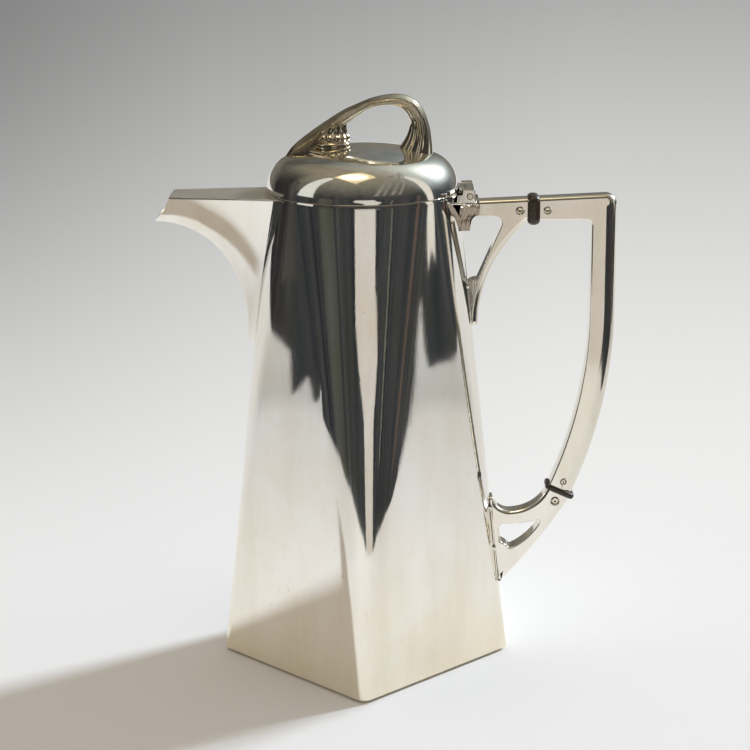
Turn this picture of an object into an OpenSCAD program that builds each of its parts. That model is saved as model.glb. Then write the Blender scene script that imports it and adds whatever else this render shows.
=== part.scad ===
// Silver coffee pot: a square foot that turns into a round mouth, a closed
// wedge-shaped spout, a hinged bun lid with a looped knob, and a hollow flat
// handle pinned to its two sockets through dark heat insulators.
// The foot stands on Z = 0 with its corners on the X and Y axes. The spout
// points to -X, the handle to +X, and the lid hinge lies between lid and handle.

/* [Body] */
// Height of the seam between body and lid
seam_height = 200; // [170:1:240]
// Radius of the body at its round mouth
mouth_radius = 39.2; // [36:0.2:44]
// Side of the square foot
base_side = 88.2; // [78:0.2:100]
// Corner radius of the square foot
base_corner = 4; // [1.6:0.2:6]
// Thickness of the sheet silver
sheet = 1; // [0.8:0.1:1.4]
// Thickness of the bottom plate
base_thick = 1; // [0.8:0.1:2]
// How far the bottom plate stays behind the foot of the body
base_inset = 0.5; // [0.2:0.1:1.5]

/* [Rim] */
// Height of the ring soldered round the mouth
rim_height = 1.4; // [1:0.1:2]
// Depth of the ring's spigot inside the body
rim_spigot = 4; // [2:0.5:8]
// Thickness of the spigot
rim_wall = 0.9; // [0.6:0.1:1.4]
// How far the ring stands proud of the body
rim_proud = 0.1; // [0:0.05:0.3]

/* [Spout] */
// Reach of the lip from the pot's axis
spout_reach = 85.5; // [78:0.5:94]
// Height at which the keel leaves the body
spout_root = 138.5; // [125:1:145]
// Height of the lip under the spout's flat top
lip_drop = 11.1; // [8:0.1:14]
// How far the spout's top ends short of its lip
lip_lead = 7; // [4:0.5:10]
// Width of the spout's top at the body
spout_width_root = 32; // [26:0.5:36]
// Width of the spout's top at its end
spout_width_tip = 20.5; // [16:0.5:26]
// Half the width of the spout where its walls meet the keel
keel_half = 5.5; // [4:0.25:6.5]
// Height of the bevelled keel
keel_height = 4.5; // [3:0.25:6]
// Size of the keel at the lip against its size at the body
keel_taper = 0.6; // [0.5:0.05:1]
// Diameter of a strainer hole
strainer_hole = 3; // [2:0.25:3.5]
// Distance between strainer holes
strainer_pitch = 5; // [4.5:0.25:5.5]
// Height of the lowest strainer hole above the spout's root
strainer_rise = 22; // [20:1:25]

/* [Lid] */
// Height of the dome above the seam
dome_height = 18.6; // [16:0.2:24]
// Radius of the dome's shoulder
shoulder_radius = 13; // [9:0.5:15]
// Height of the shoulder's centre above the seam
shoulder_rise = 2; // [1.2:0.1:4]
// Thickness of the dome
dome_sheet = 0.9; // [0.7:0.1:1.2]
// Height of the bead round the lid's edge
bead_height = 0.9; // [0.6:0.1:1.2]
// How far the bead stands proud of the dome
bead_proud = 0.35; // [0.2:0.05:0.5]
// Depth of the lid's collar below the seam
collar_depth = 4.5; // [3:0.5:6]
// Thickness of the collar
collar_wall = 0.9; // [0.6:0.1:1.2]
// Gap between the collar and the mouth
collar_gap = 0.4; // [0.3:0.05:0.6]

/* [Knob] */
// Height of the knob's top above the crown of the dome
knob_height = 20.5; // [17:0.5:24]
// Half the width of the knob's bar
knob_half = 4.2; // [3.4:0.1:5]
// Distance of the round leg from the lid's axis
leg_offset = 12.3; // [11:0.1:14]
// Half the length of the round leg's foot
leg_foot = 7.1; // [6.4:0.1:8]
// Half the length of the round leg's neck
leg_neck = 6; // [5:0.1:6.2]
// Width of the round leg as a share of its length
leg_side = 0.78; // [0.7:0.02:1]
// Distance of the second screw from the lid's axis
foot_offset = 22; // [20:0.5:24]
// Diameter of the knob's screws
screw_d = 3; // [2.5:0.1:3.4]
// Width of the screws' nuts
nut_width = 6; // [5.4:0.2:7]
// Thickness of the screws' nuts
nut_height = 2; // [1.5:0.1:3]

/* [Hinge] */
// Width of the hinge
hinge_width = 26; // [22:0.5:30]
// Width of the lid's knuckle
knuckle_width = 13.2; // [10:0.2:14]
// Distance of the hinge axis outside the mouth
hinge_out = 4.2; // [3.8:0.05:4.8]
// Depth of the hinge axis below the seam
hinge_drop = 0.7; // [0.5:0.05:0.9]
// Radius of the knuckles
knuckle_radius = 2.4; // [2.2:0.05:2.5]
// Diameter of the hinge pin
hinge_pin_d = 2.4; // [2:0.1:2.6]
// Thickness of the lid's hinge plate
leaf_thick = 1.4; // [1:0.1:1.4]
// Thickness of the ledge under the hinge
ledge_thick = 0.9; // [0.6:0.1:0.9]
// Side play of the lid's knuckle
hinge_play = 0.2; // [0.1:0.05:0.4]

/* [Handle] */
// Thickness of the flat handle
handle_thick = 8.5; // [7.5:0.25:10]
// Reach of the grip from the pot's axis
handle_reach = 103.9; // [98:0.1:110]
// Depth of the handle's top below the seam
handle_drop = 4.1; // [4.1:0.1:5.5]
// Rise of the handle's top for each millimetre outwards
top_slope = 0.045; // [0.02:0.005:0.06]
// Height of the handle's upper arm at the hinge
arm_height = 8.1; // [7:0.1:9]
// Width of the grip
grip_width = 10.5; // [9:0.1:12]
// Radius of the grip's long outer curve
grip_radius = 197; // [180:1:220]
// Height at which the grip starts to curve in
grip_bend = 150; // [140:1:160]
// Radius of the handle's outer corner
corner_outer = 4.5; // [3:0.5:6]
// Angle below the level at which the grip ends
lower_angle = 24; // [22:0.5:25]
// Distance of the upper insulator from the pot's axis
upper_joint = 69.7; // [66:0.1:74]
// Height of the upper brace's foot on the body
brace_foot = 144; // [138:1:150]
// Height of the lower socket's foot on the body
socket_foot = 31.5; // [28:0.5:36]

/* [Insulators] */
// Thickness of the upper insulator's disc
upper_disc = 5.4; // [4:0.1:7]
// Thickness of the lower insulator's disc
lower_disc = 2.5; // [2:0.1:4]
// How far the upper disc stands proud of the handle
disc_proud = 1.6; // [1:0.1:3.2]
// How far the lower disc stands proud of the handle
lower_proud = 1.2; // [0.5:0.1:2]
// Height of the tenons
tenon_height = 5.6; // [5:0.1:6]
// Thickness of the tenons
tenon_thick = 6.4; // [5:0.1:6.5]
// Length of a tenon from the middle of its disc
tenon_length = 9.5; // [9:0.25:11]
// Diameter of the handle's pins
pin_d = 2.9; // [2.4:0.1:3.2]

/* [Hidden] */

$fn = 96;
// Points on each quarter of the body's section
quarter = 20;
// Gap left between soldered pieces
solder = 0.02;
// Radial gap of a driven pin and of a running pin
pin_fit = 0.01;
running_fit = 0.05;
// Gap round a tenon in its slot
tenon_fit = 0.05;
// Gap between the ring's spigot and the body
spigot_gap = 0.1;
// Length by which a cutting solid runs past what it cuts
past = 2;
// Depth to which a piece runs into the mouth's radius before the body cuts it back
bury = 4;
// Height at which the knob's stations are drawn
knob_drawn = 20.5;
// Height of the lower socket where it meets the body
socket_tall = 37.8;
// Lowest place of the lower socket's upper edge, from its foot and from the body
dip_rise = 31.9;
dip_out = 8.6;
// How far the knob's screws reach past the crown
screw_reach = 4;
// How far the spout's toe stands off the body, and how square the keel's lower part is
keel_toe = 2.4;
keel_square = 0.8;
// How far the upper joint lies below the arm's middle
joint_low = 0.45;

silver = [0.80, 0.79, 0.76];
gilt = [0.76, 0.66, 0.48];
dark_horn = [0.20, 0.13, 0.09];

// Body sections
half_base = base_side / 2;
shell_top = seam_height - rim_height;
spigot_radius = mouth_radius - sheet - spigot_gap;
mouth_bore = spigot_radius - rim_wall;

// Angle between the spout's slices; those of its inside lie midway between the others
slice_step = 9.6;
// Ends of the spout's flat top, as distances from the axis
spout_end = spout_reach - lip_lead;
spout_start = mouth_radius - 6;

// Lid sections
collar_radius = mouth_bore - collar_gap;
shoulder_x = mouth_radius - shoulder_radius;
shoulder_z = seam_height + shoulder_rise;
crown_z = seam_height + dome_height;
crown_fall = dome_height - shoulder_rise;
crown_radius = (shoulder_x * shoulder_x + crown_fall * crown_fall - shoulder_radius * shoulder_radius)
    / (2 * (crown_fall - shoulder_radius));
crown_centre = crown_z - crown_radius;

// Hinge places
hinge_x = mouth_radius + hinge_out;
hinge_z = seam_height - hinge_drop;
ledge_z = seam_height - handle_drop;
ledge_end = hinge_x + knuckle_radius;
cheek_back = 2.5;
cheek_corner = 3;

// Handle places
handle_top = seam_height - handle_drop;
arm_bottom = handle_top - arm_height;
grip_x = handle_reach - grip_radius;
grip_inner = grip_radius - grip_width;
joint_radius = grip_radius - grip_width / 2;
upper_joint_z = (arm_bottom + top_at(upper_joint)) / 2 - joint_low;
lower_joint_x = grip_x + joint_radius * cos(lower_angle);
lower_joint_z = grip_bend - joint_radius * sin(lower_angle);
upper_pin_reach = 5.6;
lower_pin_reach = 4.5;

// Height of the handle's top edge at a distance from the pot's axis
function top_at(x) = handle_top + (x - ledge_end) * top_slope;

// Half side and corner radius of the body's section at a height
function half_at(z) = half_base + (mouth_radius - half_base) * z / seam_height;
function corner_at(z) = base_corner + (mouth_radius - base_corner) * z / seam_height;
// Distance from the axis to the body's corner edge at a height
function edge_at(z) = (half_at(z) - corner_at(z)) * sqrt(2) + corner_at(z);

// One round-cornered square section of the body, grown by a given amount
function body_ring(z, grow) = [
    for (k = [0:3], i = [0:quarter - 1])
        let (
            a = 90 * k - 45 + (i + 0.5) * 90 / quarter,
            reach = (half_at(z) - corner_at(z)) * sqrt(2),
            r = max(corner_at(z) + grow, 0.2)
        )
        [reach * cos(90 * k) + r * cos(a), reach * sin(90 * k) + r * sin(a), z]
];

// Points of a circular arc by centre and angles
function arc(c, r, a0, a1, n) = [
    for (i = [0:n]) let (a = a0 + (a1 - a0) * i / n) c + r * [cos(a), sin(a)]
];

// Points of an arc from p to q that bulges to the left by sag
function bow(p, q, sag, n) =
    let (
        chord = norm(q - p),
        u = (q - p) / chord,
        side = sign(sag) * [-u[1], u[0]],
        s = abs(sag),
        r = (chord * chord / 4 + s * s) / (2 * s),
        c = (p + q) / 2 - side * (r - s),
        h = asin(chord / 2 / r)
    )
    [for (i = [0:n]) let (t = -h + 2 * h * i / n) c + r * (sin(t) * u + cos(t) * side)];

// Solid through a list of closed rings with equal numbers of points, which run
// anticlockwise when seen from beyond the last ring
module loft(rings) {
    n = len(rings[0]);
    last = len(rings) - 1;
    sides = [
        for (k = [0:last - 1], i = [0:n - 1])
            let (a = k * n + i, b = k * n + (i + 1) % n)
            each [[a, a + n, b + n], [a, b + n, b]]
    ];
    ends = [
        for (i = [1:n - 2])
            each [[0, i, i + 1], [last * n, last * n + i + 1, last * n + i]]
    ];
    polyhedron(points = [for (r = rings) each r], faces = concat(ends, sides), convexity = 6);
}

// Solid body of the pot between two heights
module body_solid(z0, z1, grow) {
    loft([body_ring(z0, grow), body_ring(z1, grow)]);
}

// A flat piece that stands in the plane of handle and spout
module upright(thick) {
    rotate([90, 0, 0])
        translate([0, 0, -thick / 2])
            linear_extrude(thick)
                children();
}

// Rectangle with round corners, centred
module round_rect(w, h, r) {
    square([w - 2 * r, h], center = true);
    square([w, h - 2 * r], center = true);
    for (sx = [-1, 1], sy = [-1, 1])
        translate([sx * (w / 2 - r), sy * (h / 2 - r)])
            circle(r);
}

// Rod across the handle
module cross_rod(x, z, d, length) {
    translate([x, 0, z])
        rotate([90, 0, 0])
            cylinder(d = d, h = length, center = true);
}

module body_shell() {
    color(silver)
        difference() {
            body_solid(base_thick, shell_top, 0);
            body_solid(-past, seam_height + past, -sheet);
            strainer_holes();
        }
}

// Rows of one to five holes through the wall behind the spout
module strainer_holes() {
    for (row = [0:4], i = [0:row])
        translate([
            -edge_at(spout_root),
            (i - row / 2) * strainer_pitch,
            spout_root + strainer_rise + row * strainer_pitch * 1.3
        ])
            rotate([0, 90, 0])
                cylinder(d = strainer_hole, h = 4 * past + 2 * sheet, center = true, $fn = 24);
}

module base_plate() {
    color(silver)
        rotate(45)
            linear_extrude(base_thick)
                round_rect(base_side - 2 * base_inset, base_side - 2 * base_inset, base_corner);
}

module rim_bezel() {
    color(silver)
        rotate_extrude()
            polygon([
                [mouth_bore, shell_top - rim_spigot],
                [spigot_radius, shell_top - rim_spigot],
                [spigot_radius, shell_top],
                [mouth_radius + rim_proud, shell_top],
                [mouth_radius + rim_proud, seam_height],
                [mouth_bore, seam_height]
            ]);
}

// Keel of the spout: a quarter curve that falls from the lip and turns in below its toe
function keel(a) = [
    -spout_reach + (spout_reach - edge_at(spout_root) - keel_toe) * cos(a) + (a < 0 ? bury : 0),
    spout_root + (shell_top - lip_drop - spout_root) * sign(a) * pow(abs(sin(a)), keel_square)
];
// End of a slice on the flat top, from inside the body to the spout's end
function slice_top(a) = [
    -spout_start - (spout_end - spout_start) * a / 90,
    shell_top - sheet
];
// Half the width of the flat top at a place on its length
function spout_half(x) = spout_width_tip / 2
    + (spout_width_root - spout_width_tip) / 2 * (x + spout_end) / (spout_end - mouth_radius);

// One slice across the spout, from the keel to the flat top, drawn in by inset
function spout_slice(a, inset, over) =
    let (
        k = keel(a),
        t = slice_top(a),
        u = (t - k) / norm(t - k),
        s = 1 + (keel_taper - 1) * a / 90,
        low = k + u * inset * 1.4,
        mid = k + u * (keel_height * s + inset * 0.6),
        top = t + u * over,
        w_low = max(s - inset * 0.5, 0.3),
        w_mid = keel_half * s - inset,
        w_top = spout_half(t[0]) - inset
    )
    [
        [top[0], w_top, top[1]],
        [mid[0], w_mid, mid[1]],
        [low[0], w_low, low[1]],
        [low[0], -w_low, low[1]],
        [mid[0], -w_mid, mid[1]],
        [top[0], -w_top, top[1]]
    ];

module spout_shell() {
    color(silver)
        difference() {
            loft([for (i = [-10:0]) spout_slice(90 + i * slice_step, 0, 0)]);
            loft([for (i = [-11:0]) spout_slice(90 + (i + 0.5) * slice_step, sheet, past)]);
            body_solid(base_thick, seam_height + past, solder);
        }
}

module spout_cover() {
    color(silver)
        difference() {
            translate([0, 0, shell_top - sheet])
                linear_extrude(sheet)
                    polygon([
                        [-spout_end, -spout_half(-spout_end)],
                        [-spout_start, -spout_half(-spout_start)],
                        [-spout_start, spout_half(-spout_start)],
                        [-spout_end, spout_half(-spout_end)]
                    ]);
            body_solid(base_thick, seam_height + past, solder);
        }
}

// Outline of the upper socket: the arm under the hinge and its curved brace
module upper_socket_outline() {
    inside = mouth_radius - bury;
    arm_end = upper_joint;
    brace_x = edge_at(brace_foot) + 2;
    arm_inner = handle_top - arm_height * 0.78;
    difference() {
        polygon(concat(
            [[inside, handle_top], [ledge_end, handle_top], [arm_end, top_at(arm_end)]],
            [[arm_end, arm_bottom - 1]],
            bow([arm_end - upper_disc / 2, arm_bottom - 1], [brace_x, brace_foot], -5.2, 14),
            [[inside, brace_foot]]
        ));
        polygon(concat(
            [[inside - past, arm_inner]],
            arc([mouth_radius + 14.6, arm_inner - 3], 3, 90, -24, 6),
            bow([mouth_radius + 7.6, brace_foot + 19.2], [inside - past, brace_foot + 17.8], -0.4, 2)
        ));
    }
}

// Bracket that widens from the arm's thickness to the width of the hinge
module corbel() {
    low = ledge_z - 14;
    intersection() {
        upright(hinge_width)
            polygon(concat(
                [[mouth_radius - bury, low], [mouth_radius - bury, ledge_z], [ledge_end, ledge_z]],
                bow([ledge_end + 1.6, ledge_z - 5.2], [mouth_radius + 4.2, low], -1.4, 8)
            ));
        rotate([90, 0, 90])
            linear_extrude(2 * handle_reach, center = true)
                polygon(concat(
                    [[-hinge_width / 2, ledge_z], [hinge_width / 2, ledge_z]],
                    bow([hinge_width / 2, ledge_z - 0.6], [handle_thick / 2, low], -2.6, 10),
                    bow([-handle_thick / 2, low], [-hinge_width / 2, ledge_z - 0.6], -2.6, 10)
                ));
    }
}

// Solid of a tenon on both sides of its disc, grown by a gap, in the joint's own frame
module tenon(gap) {
    cube([2 * tenon_length + 2 * gap, tenon_thick + 2 * gap, tenon_height + 2 * gap], center = true);
}

// Room that a socket or the grip leaves for an insulator: disc, tenon and pin
module insulator_room(disc, pin_x) {
    tenon(tenon_fit);
    cube([disc + 2 * solder, 4 * handle_thick, 4 * handle_thick], center = true);
    cross_rod(pin_x, 0, pin_d + 2 * pin_fit, 2 * handle_thick);
}

module at_upper_joint() {
    translate([upper_joint, 0, upper_joint_z])
        children();
}

// Frame of the lower joint: X runs along the grip, upwards
module at_lower_joint() {
    translate([lower_joint_x, 0, lower_joint_z])
        rotate([0, lower_angle - 90, 0])
            children();
}

module upper_socket() {
    color(silver)
        difference() {
            union() {
                upright(handle_thick)
                    upper_socket_outline();
                corbel();
            }
            body_solid(base_thick, seam_height + past, solder);
            at_upper_joint()
                insulator_room(upper_disc, -upper_pin_reach);
        }
}

module upper_insulator() {
    height = top_at(upper_joint) - arm_bottom + 2 * disc_proud;
    color(dark_horn)
        at_upper_joint()
            difference() {
                union() {
                    tenon(0);
                    rotate([90, 0, 90])
                        linear_extrude(upper_disc, center = true)
                            round_rect(handle_thick + 2 * disc_proud, height, 3);
                }
                for (side = [-1, 1])
                    cross_rod(side * upper_pin_reach, 0, pin_d + 2 * pin_fit, 2 * handle_thick);
            }
}

module lower_insulator() {
    color(dark_horn)
        at_lower_joint()
            difference() {
                union() {
                    tenon(0);
                    rotate([90, 0, 90])
                        linear_extrude(lower_disc, center = true)
                            round_rect(handle_thick + 2 * lower_proud, grip_width + 2 * lower_proud, 2);
                }
                for (side = [-1, 1])
                    cross_rod(side * lower_pin_reach, 0, pin_d + 2 * pin_fit, 2 * handle_thick);
            }
}

// Outline of the grip, from the upper insulator over the corner to the lower one
module grip_outline(inset) {
    start = upper_joint;
    inner_x = handle_reach - grip_width + inset;
    outer_x = handle_reach - inset;
    corner = corner_outer - inset;
    corner_z = top_at(handle_reach - corner_outer) - corner_outer;
    polygon(concat(
        [[start, arm_bottom + inset]],
        arc([inner_x - 2, arm_bottom - 2 + inset], 2, 90, 0, 5),
        arc([grip_x, grip_bend], grip_inner + inset, 0, -lower_angle, 14),
        arc([grip_x, grip_bend], grip_radius - inset, -lower_angle, 0, 14),
        arc([outer_x - corner, corner_z], corner, 0, 90, 8),
        [[start, top_at(start) - inset]]
    ));
}

module handle_grip() {
    edge = (grip_width - tenon_height) / 2 - tenon_fit;
    color(silver)
        difference() {
            upright(handle_thick)
                grip_outline(0);
            upright(tenon_thick + 2 * tenon_fit)
                intersection() {
                    grip_outline(edge);
                    translate([upper_joint + tenon_length, 0])
                        square([handle_reach, seam_height]);
                }
            at_upper_joint()
                insulator_room(upper_disc, upper_pin_reach);
            at_lower_joint()
                insulator_room(lower_disc, lower_pin_reach);
        }
}

// Outline of the lower socket in the handle's plane: two prongs that meet at the grip
module lower_socket_outline() {
    inside = edge_at(socket_foot + 34) - 6;
    out = [cos(lower_angle), -sin(lower_angle)];
    joint = [lower_joint_x, lower_joint_z];
    inner_end = joint - grip_width / 2 * out;
    outer_end = joint + grip_width / 2 * out;
    dip = [edge_at(socket_foot + dip_rise) + dip_out, socket_foot + dip_rise];
    difference() {
        polygon(concat(
            [outer_end],
            bow(outer_end, [edge_at(socket_foot), socket_foot], 1.3, 8),
            [[inside, socket_foot], [inside, socket_foot + socket_tall]],
            bow([edge_at(socket_foot + socket_tall) + 0.6, socket_foot + socket_tall], dip, -2.2, 6),
            bow(dip, inner_end, -2.6, 8)
        ));
        polygon(concat(
            bow([dip[0] + 11.6, dip[1] - 4.6], [dip[0], dip[1] - 15.9], 1.3, 6),
            bow([dip[0] - 1, dip[1] - 15.9], [dip[0] - 5, dip[1] - 13.4], -0.4, 3),
            [[dip[0] - 5, dip[1] - 7.4]],
            bow([dip[0] - 3.4, dip[1] - 5.6], [dip[0] + 11, dip[1] - 3.8], -0.6, 4)
        ));
    }
}

module lower_socket() {
    color(silver)
        difference() {
            upright(handle_thick)
                lower_socket_outline();
            body_solid(base_thick, seam_height + past, solder);
            at_lower_joint()
                insulator_room(lower_disc, -lower_pin_reach);
        }
}

module handle_pin(reach) {
    cross_rod(reach, 0, pin_d, handle_thick);
}

module upper_socket_pin() {
    color(silver) at_upper_joint() handle_pin(-upper_pin_reach);
}

module upper_grip_pin() {
    color(silver) at_upper_joint() handle_pin(upper_pin_reach);
}

module lower_grip_pin() {
    color(silver) at_lower_joint() handle_pin(lower_pin_reach);
}

module lower_socket_pin() {
    color(silver) at_lower_joint() handle_pin(-lower_pin_reach);
}

// Ledge and two end knuckles, soldered to the corbel
module hinge_block() {
    floor_z = ledge_z - hinge_z;
    color(silver)
        difference() {
            union() {
                translate([mouth_radius - bury, -hinge_width / 2, ledge_z])
                    cube([ledge_end - mouth_radius + bury, hinge_width, ledge_thick]);
                for (side = [-1, 1])
                    translate([hinge_x, side * (hinge_width + knuckle_width) / 4 + side * hinge_play / 2, hinge_z])
                        cheek((hinge_width - knuckle_width) / 2 - hinge_play, floor_z);
            }
            body_solid(base_thick, shell_top, solder);
            cylinder(r = mouth_radius + rim_proud + solder, h = seam_height + past);
            cross_rod(hinge_x, hinge_z, hinge_pin_d + 2 * pin_fit, 2 * hinge_width);
        }
}

// One end knuckle with a square foot, in the hinge's own frame
module cheek(width, floor_z) {
    intersection() {
        translate([-cheek_back, -width / 2, floor_z])
            cube([cheek_back + knuckle_radius, width, knuckle_radius - floor_z]);
        union() {
            rotate([90, 0, 0])
                cylinder(r = cheek_corner, h = width, center = true);
            translate([-cheek_back, -width / 2, floor_z])
                cube([cheek_back + knuckle_radius, width, -floor_z]);
        }
    }
}

module hinge_pin() {
    color(gilt)
        cross_rod(hinge_x, hinge_z, hinge_pin_d, hinge_width);
}

// Lid's knuckle and the plate that carries it
module hinge_leaf() {
    width = knuckle_width - hinge_play;
    color(silver)
        difference() {
            union() {
                cross_rod(hinge_x, hinge_z, 2 * knuckle_radius, width);
                translate([mouth_radius - bury, -width / 2, hinge_z + knuckle_radius - leaf_thick])
                    cube([hinge_out + bury, width, leaf_thick]);
            }
            cylinder(r = mouth_radius + bead_proud + solder, h = seam_height + bead_height + solder);
            cylinder(r = mouth_radius + solder, h = seam_height + 4 * dome_height);
            cross_rod(hinge_x, hinge_z, hinge_pin_d + 2 * running_fit, 2 * hinge_width);
        }
}

module lid_bezel() {
    color(silver)
        rotate_extrude()
            polygon([
                [collar_radius - collar_wall, seam_height - collar_depth],
                [collar_radius, seam_height - collar_depth],
                [collar_radius, seam_height],
                [mouth_radius + bead_proud, seam_height],
                [mouth_radius + bead_proud, seam_height + bead_height],
                [collar_radius - collar_wall, seam_height + bead_height]
            ]);
}

// Half section of the dome: a wide crown that runs into a round shoulder
module dome_section(inset, low) {
    lean = atan2(shoulder_x, shoulder_z - crown_centre);
    far = 2 * crown_radius;
    intersection() {
        union() {
            intersection() {
                translate([0, crown_centre])
                    circle(crown_radius - inset, $fn = 240);
                polygon([
                    [0, crown_centre],
                    [far * sin(lean), crown_centre + far * cos(lean)],
                    [0, crown_centre + far]
                ]);
            }
            translate([shoulder_x, shoulder_z])
                circle(shoulder_radius - inset);
            translate([0, low])
                square([mouth_radius - inset, shoulder_z - low]);
        }
        translate([0, low])
            square([mouth_radius, 2 * dome_height + seam_height - low]);
    }
}

module lid_dome() {
    color(silver)
        difference() {
            rotate_extrude()
                dome_section(0, seam_height + bead_height);
            rotate_extrude()
                dome_section(dome_sheet, seam_height - past);
            for (x = [-leg_offset, foot_offset])
                translate([x, 0, seam_height])
                    cylinder(d = screw_d + 4 * pin_fit, h = 2 * dome_height);
        }
}

// One section across the knob's bar, from its outer to its inner edge
function bar_ring(o, i, w) =
    let (p = o + (i - o) * 0.42)
    [
        [o[0], -0.45 * w, o[1]], [p[0], -w, p[1]], [i[0], -0.5 * w, i[1]],
        [i[0], 0.5 * w, i[1]], [p[0], w, p[1]], [o[0], 0.45 * w, o[1]]
    ];

// Stations along the knob's bar, from the tail tip over the top to the foot:
// outer edge, inner edge as [x, height above the crown], share of the bar's half width
knob_stations = [
    [[-31.2, -4.4], [-30.4, -6], 0.15],
    [[-28.6, -0.7], [-27, -6], 0.5],
    [[-24.2, 3.1], [-22, -5], 0.75],
    [[-19.9, 6.3], [-17, -2], 0.95],
    [[-15.6, 9.2], [-11, 2], 1.05],
    [[-11.3, 12], [-6.2, 5.4], 1.05],
    [[-7, 14.5], [-4.7, 9.2], 1],
    [[-2.5, 16.5], [-0.6, 12.3], 1],
    [[4, 19.1], [4.6, 15.1], 1],
    [[11.2, 20.5], [10.6, 16], 1],
    [[16.4, 20.4], [14.4, 15.4], 1],
    [[20, 19.1], [16.6, 14.1], 1],
    [[22.8, 17], [18.2, 12.2], 1],
    [[25.4, 13], [19, 9.8], 1],
    [[27.3, 7.4], [18.9, 6.8], 1.1],
    [[28.3, 1.4], [17.4, 2.6], 1.25],
    [[28.8, -5], [14, -2.4], 1.5]
];

module knob() {
    rise = knob_height / knob_drawn;
    color(gilt)
        difference() {
            union() {
                loft([
                    for (s = knob_stations)
                        bar_ring(
                            [s[0][0], crown_z + s[0][1] * rise],
                            [s[1][0], crown_z + s[1][1] * rise],
                            s[2] * knob_half
                        )
                ]);
                translate([-leg_offset, 0, crown_z])
                    leg(6 * rise);
            }
            rotate_extrude()
                dome_section(-solder, seam_height);
            for (x = [-leg_offset, foot_offset])
                translate([x, 0, seam_height])
                    cylinder(d = screw_d + 2 * pin_fit, h = dome_height + screw_reach);
        }
}

// Round leg that flares to a beaded foot, as [radius, height above the crown]
module leg(rise) {
    bead = 0.9;
    points = concat(
        [[leg_foot - bead, -3], [leg_foot - bead, 0]],
        arc([leg_foot - bead, bead - 0.2], bead, -50, 90, 4),
        bow([leg_foot - bead - 0.4, 1.6], [leg_neck, rise], 1, 5)
    );
    loft([
        for (p = points)
            [for (i = [0:23]) [p[0] * cos(15 * i + 4), leg_side * p[0] * sin(15 * i + 4), p[1]]]
    ]);
}

// Inner height of the dome at a distance from its axis
function dome_inside(x) = crown_centre + sqrt(pow(crown_radius - dome_sheet, 2) - x * x);

module knob_screws() {
    color(gilt)
        for (x = [-leg_offset, foot_offset])
            translate([x, 0, dome_inside(abs(x) + nut_width / 2) - nut_height - 1])
                cylinder(d = screw_d, h = seam_height + dome_height + screw_reach
                    - dome_inside(abs(x) + nut_width / 2) + nut_height + 1);
}

module knob_nuts() {
    color(gilt)
        for (x = [-leg_offset, foot_offset])
            translate([x, 0, dome_inside(abs(x) + nut_width * 0.6) - nut_height - 0.1])
                difference() {
                    cylinder(d = nut_width * 2 / sqrt(3), h = nut_height, $fn = 6);
                    translate([0, 0, -past])
                        cylinder(d = screw_d + 2 * pin_fit, h = nut_height + 2 * past);
                }
}

body_shell();
base_plate();
rim_bezel();
spout_shell();
spout_cover();
upper_socket();
upper_socket_pin();
upper_insulator();
upper_grip_pin();
handle_grip();
lower_grip_pin();
lower_insulator();
lower_socket_pin();
lower_socket();
hinge_block();
hinge_pin();
hinge_leaf();
lid_bezel();
lid_dome();
knob();
knob_screws();
knob_nuts();
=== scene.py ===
"""Looks of a silver coffee pot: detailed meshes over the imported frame, materials, a studio and a camera.

Lengths are in millimetres until a mesh is made. X points to the handle, -Y to the camera, Z up.
"""

from math import asin, atan2, copysign, cos, degrees, exp, hypot, pi, radians, sin, sqrt, tau

import bmesh
import bpy
from mathutils import Matrix, Vector, noise
from mathutils.geometry import tessellate_polygon


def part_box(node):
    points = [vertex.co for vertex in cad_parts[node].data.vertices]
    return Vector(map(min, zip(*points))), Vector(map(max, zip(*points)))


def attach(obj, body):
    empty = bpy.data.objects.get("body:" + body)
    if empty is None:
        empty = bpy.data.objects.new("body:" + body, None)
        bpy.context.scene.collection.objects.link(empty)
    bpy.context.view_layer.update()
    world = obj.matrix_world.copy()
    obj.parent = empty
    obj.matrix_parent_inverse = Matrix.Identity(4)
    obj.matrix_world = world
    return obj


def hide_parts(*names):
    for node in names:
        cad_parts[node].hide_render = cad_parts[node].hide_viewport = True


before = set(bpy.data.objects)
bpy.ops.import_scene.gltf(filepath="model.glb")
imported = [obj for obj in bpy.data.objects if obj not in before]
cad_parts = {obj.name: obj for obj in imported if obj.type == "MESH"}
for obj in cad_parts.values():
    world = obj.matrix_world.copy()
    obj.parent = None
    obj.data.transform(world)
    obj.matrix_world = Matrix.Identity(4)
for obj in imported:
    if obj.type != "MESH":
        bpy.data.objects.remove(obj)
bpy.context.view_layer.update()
MM = 0.001


def low(node):
    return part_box(node)[0] / MM


def high(node):
    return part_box(node)[1] / MM


def middle(node):
    return (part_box(node)[0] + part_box(node)[1]) / 2 / MM


# ------------------------ sizes

# What the frame doesn't say of itself
BASE_CORNER = 4.0
SHEET = 1.0
RIM_PROUD = 0.1
BEAD_PROUD = 0.35
FACE_BULGE = radians(4)
WAVE_DEPTH = 0.035
WAVE_LENGTH = 46.0
SPOUT_ROOT = 138.5
STRAINER_HOLE = 3.0
STRAINER_PITCH = 5.0
STRAINER_RISE = 22.0
STRAINER_ROWS = 5

SEAM_Z = high("rim_bezel").z
MOUTH_R = high("rim_bezel").x - RIM_PROUD
SHELL_LOW = low("body_shell").z
SHELL_TOP = high("body_shell").z
BEAD_LINE = SEAM_Z + 0.36
CROWN_Z = high("lid_dome").z
DOME_SHEET = 0.9
SHOULDER_R = 13.0
SHOULDER_RISE = 2.0


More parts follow.
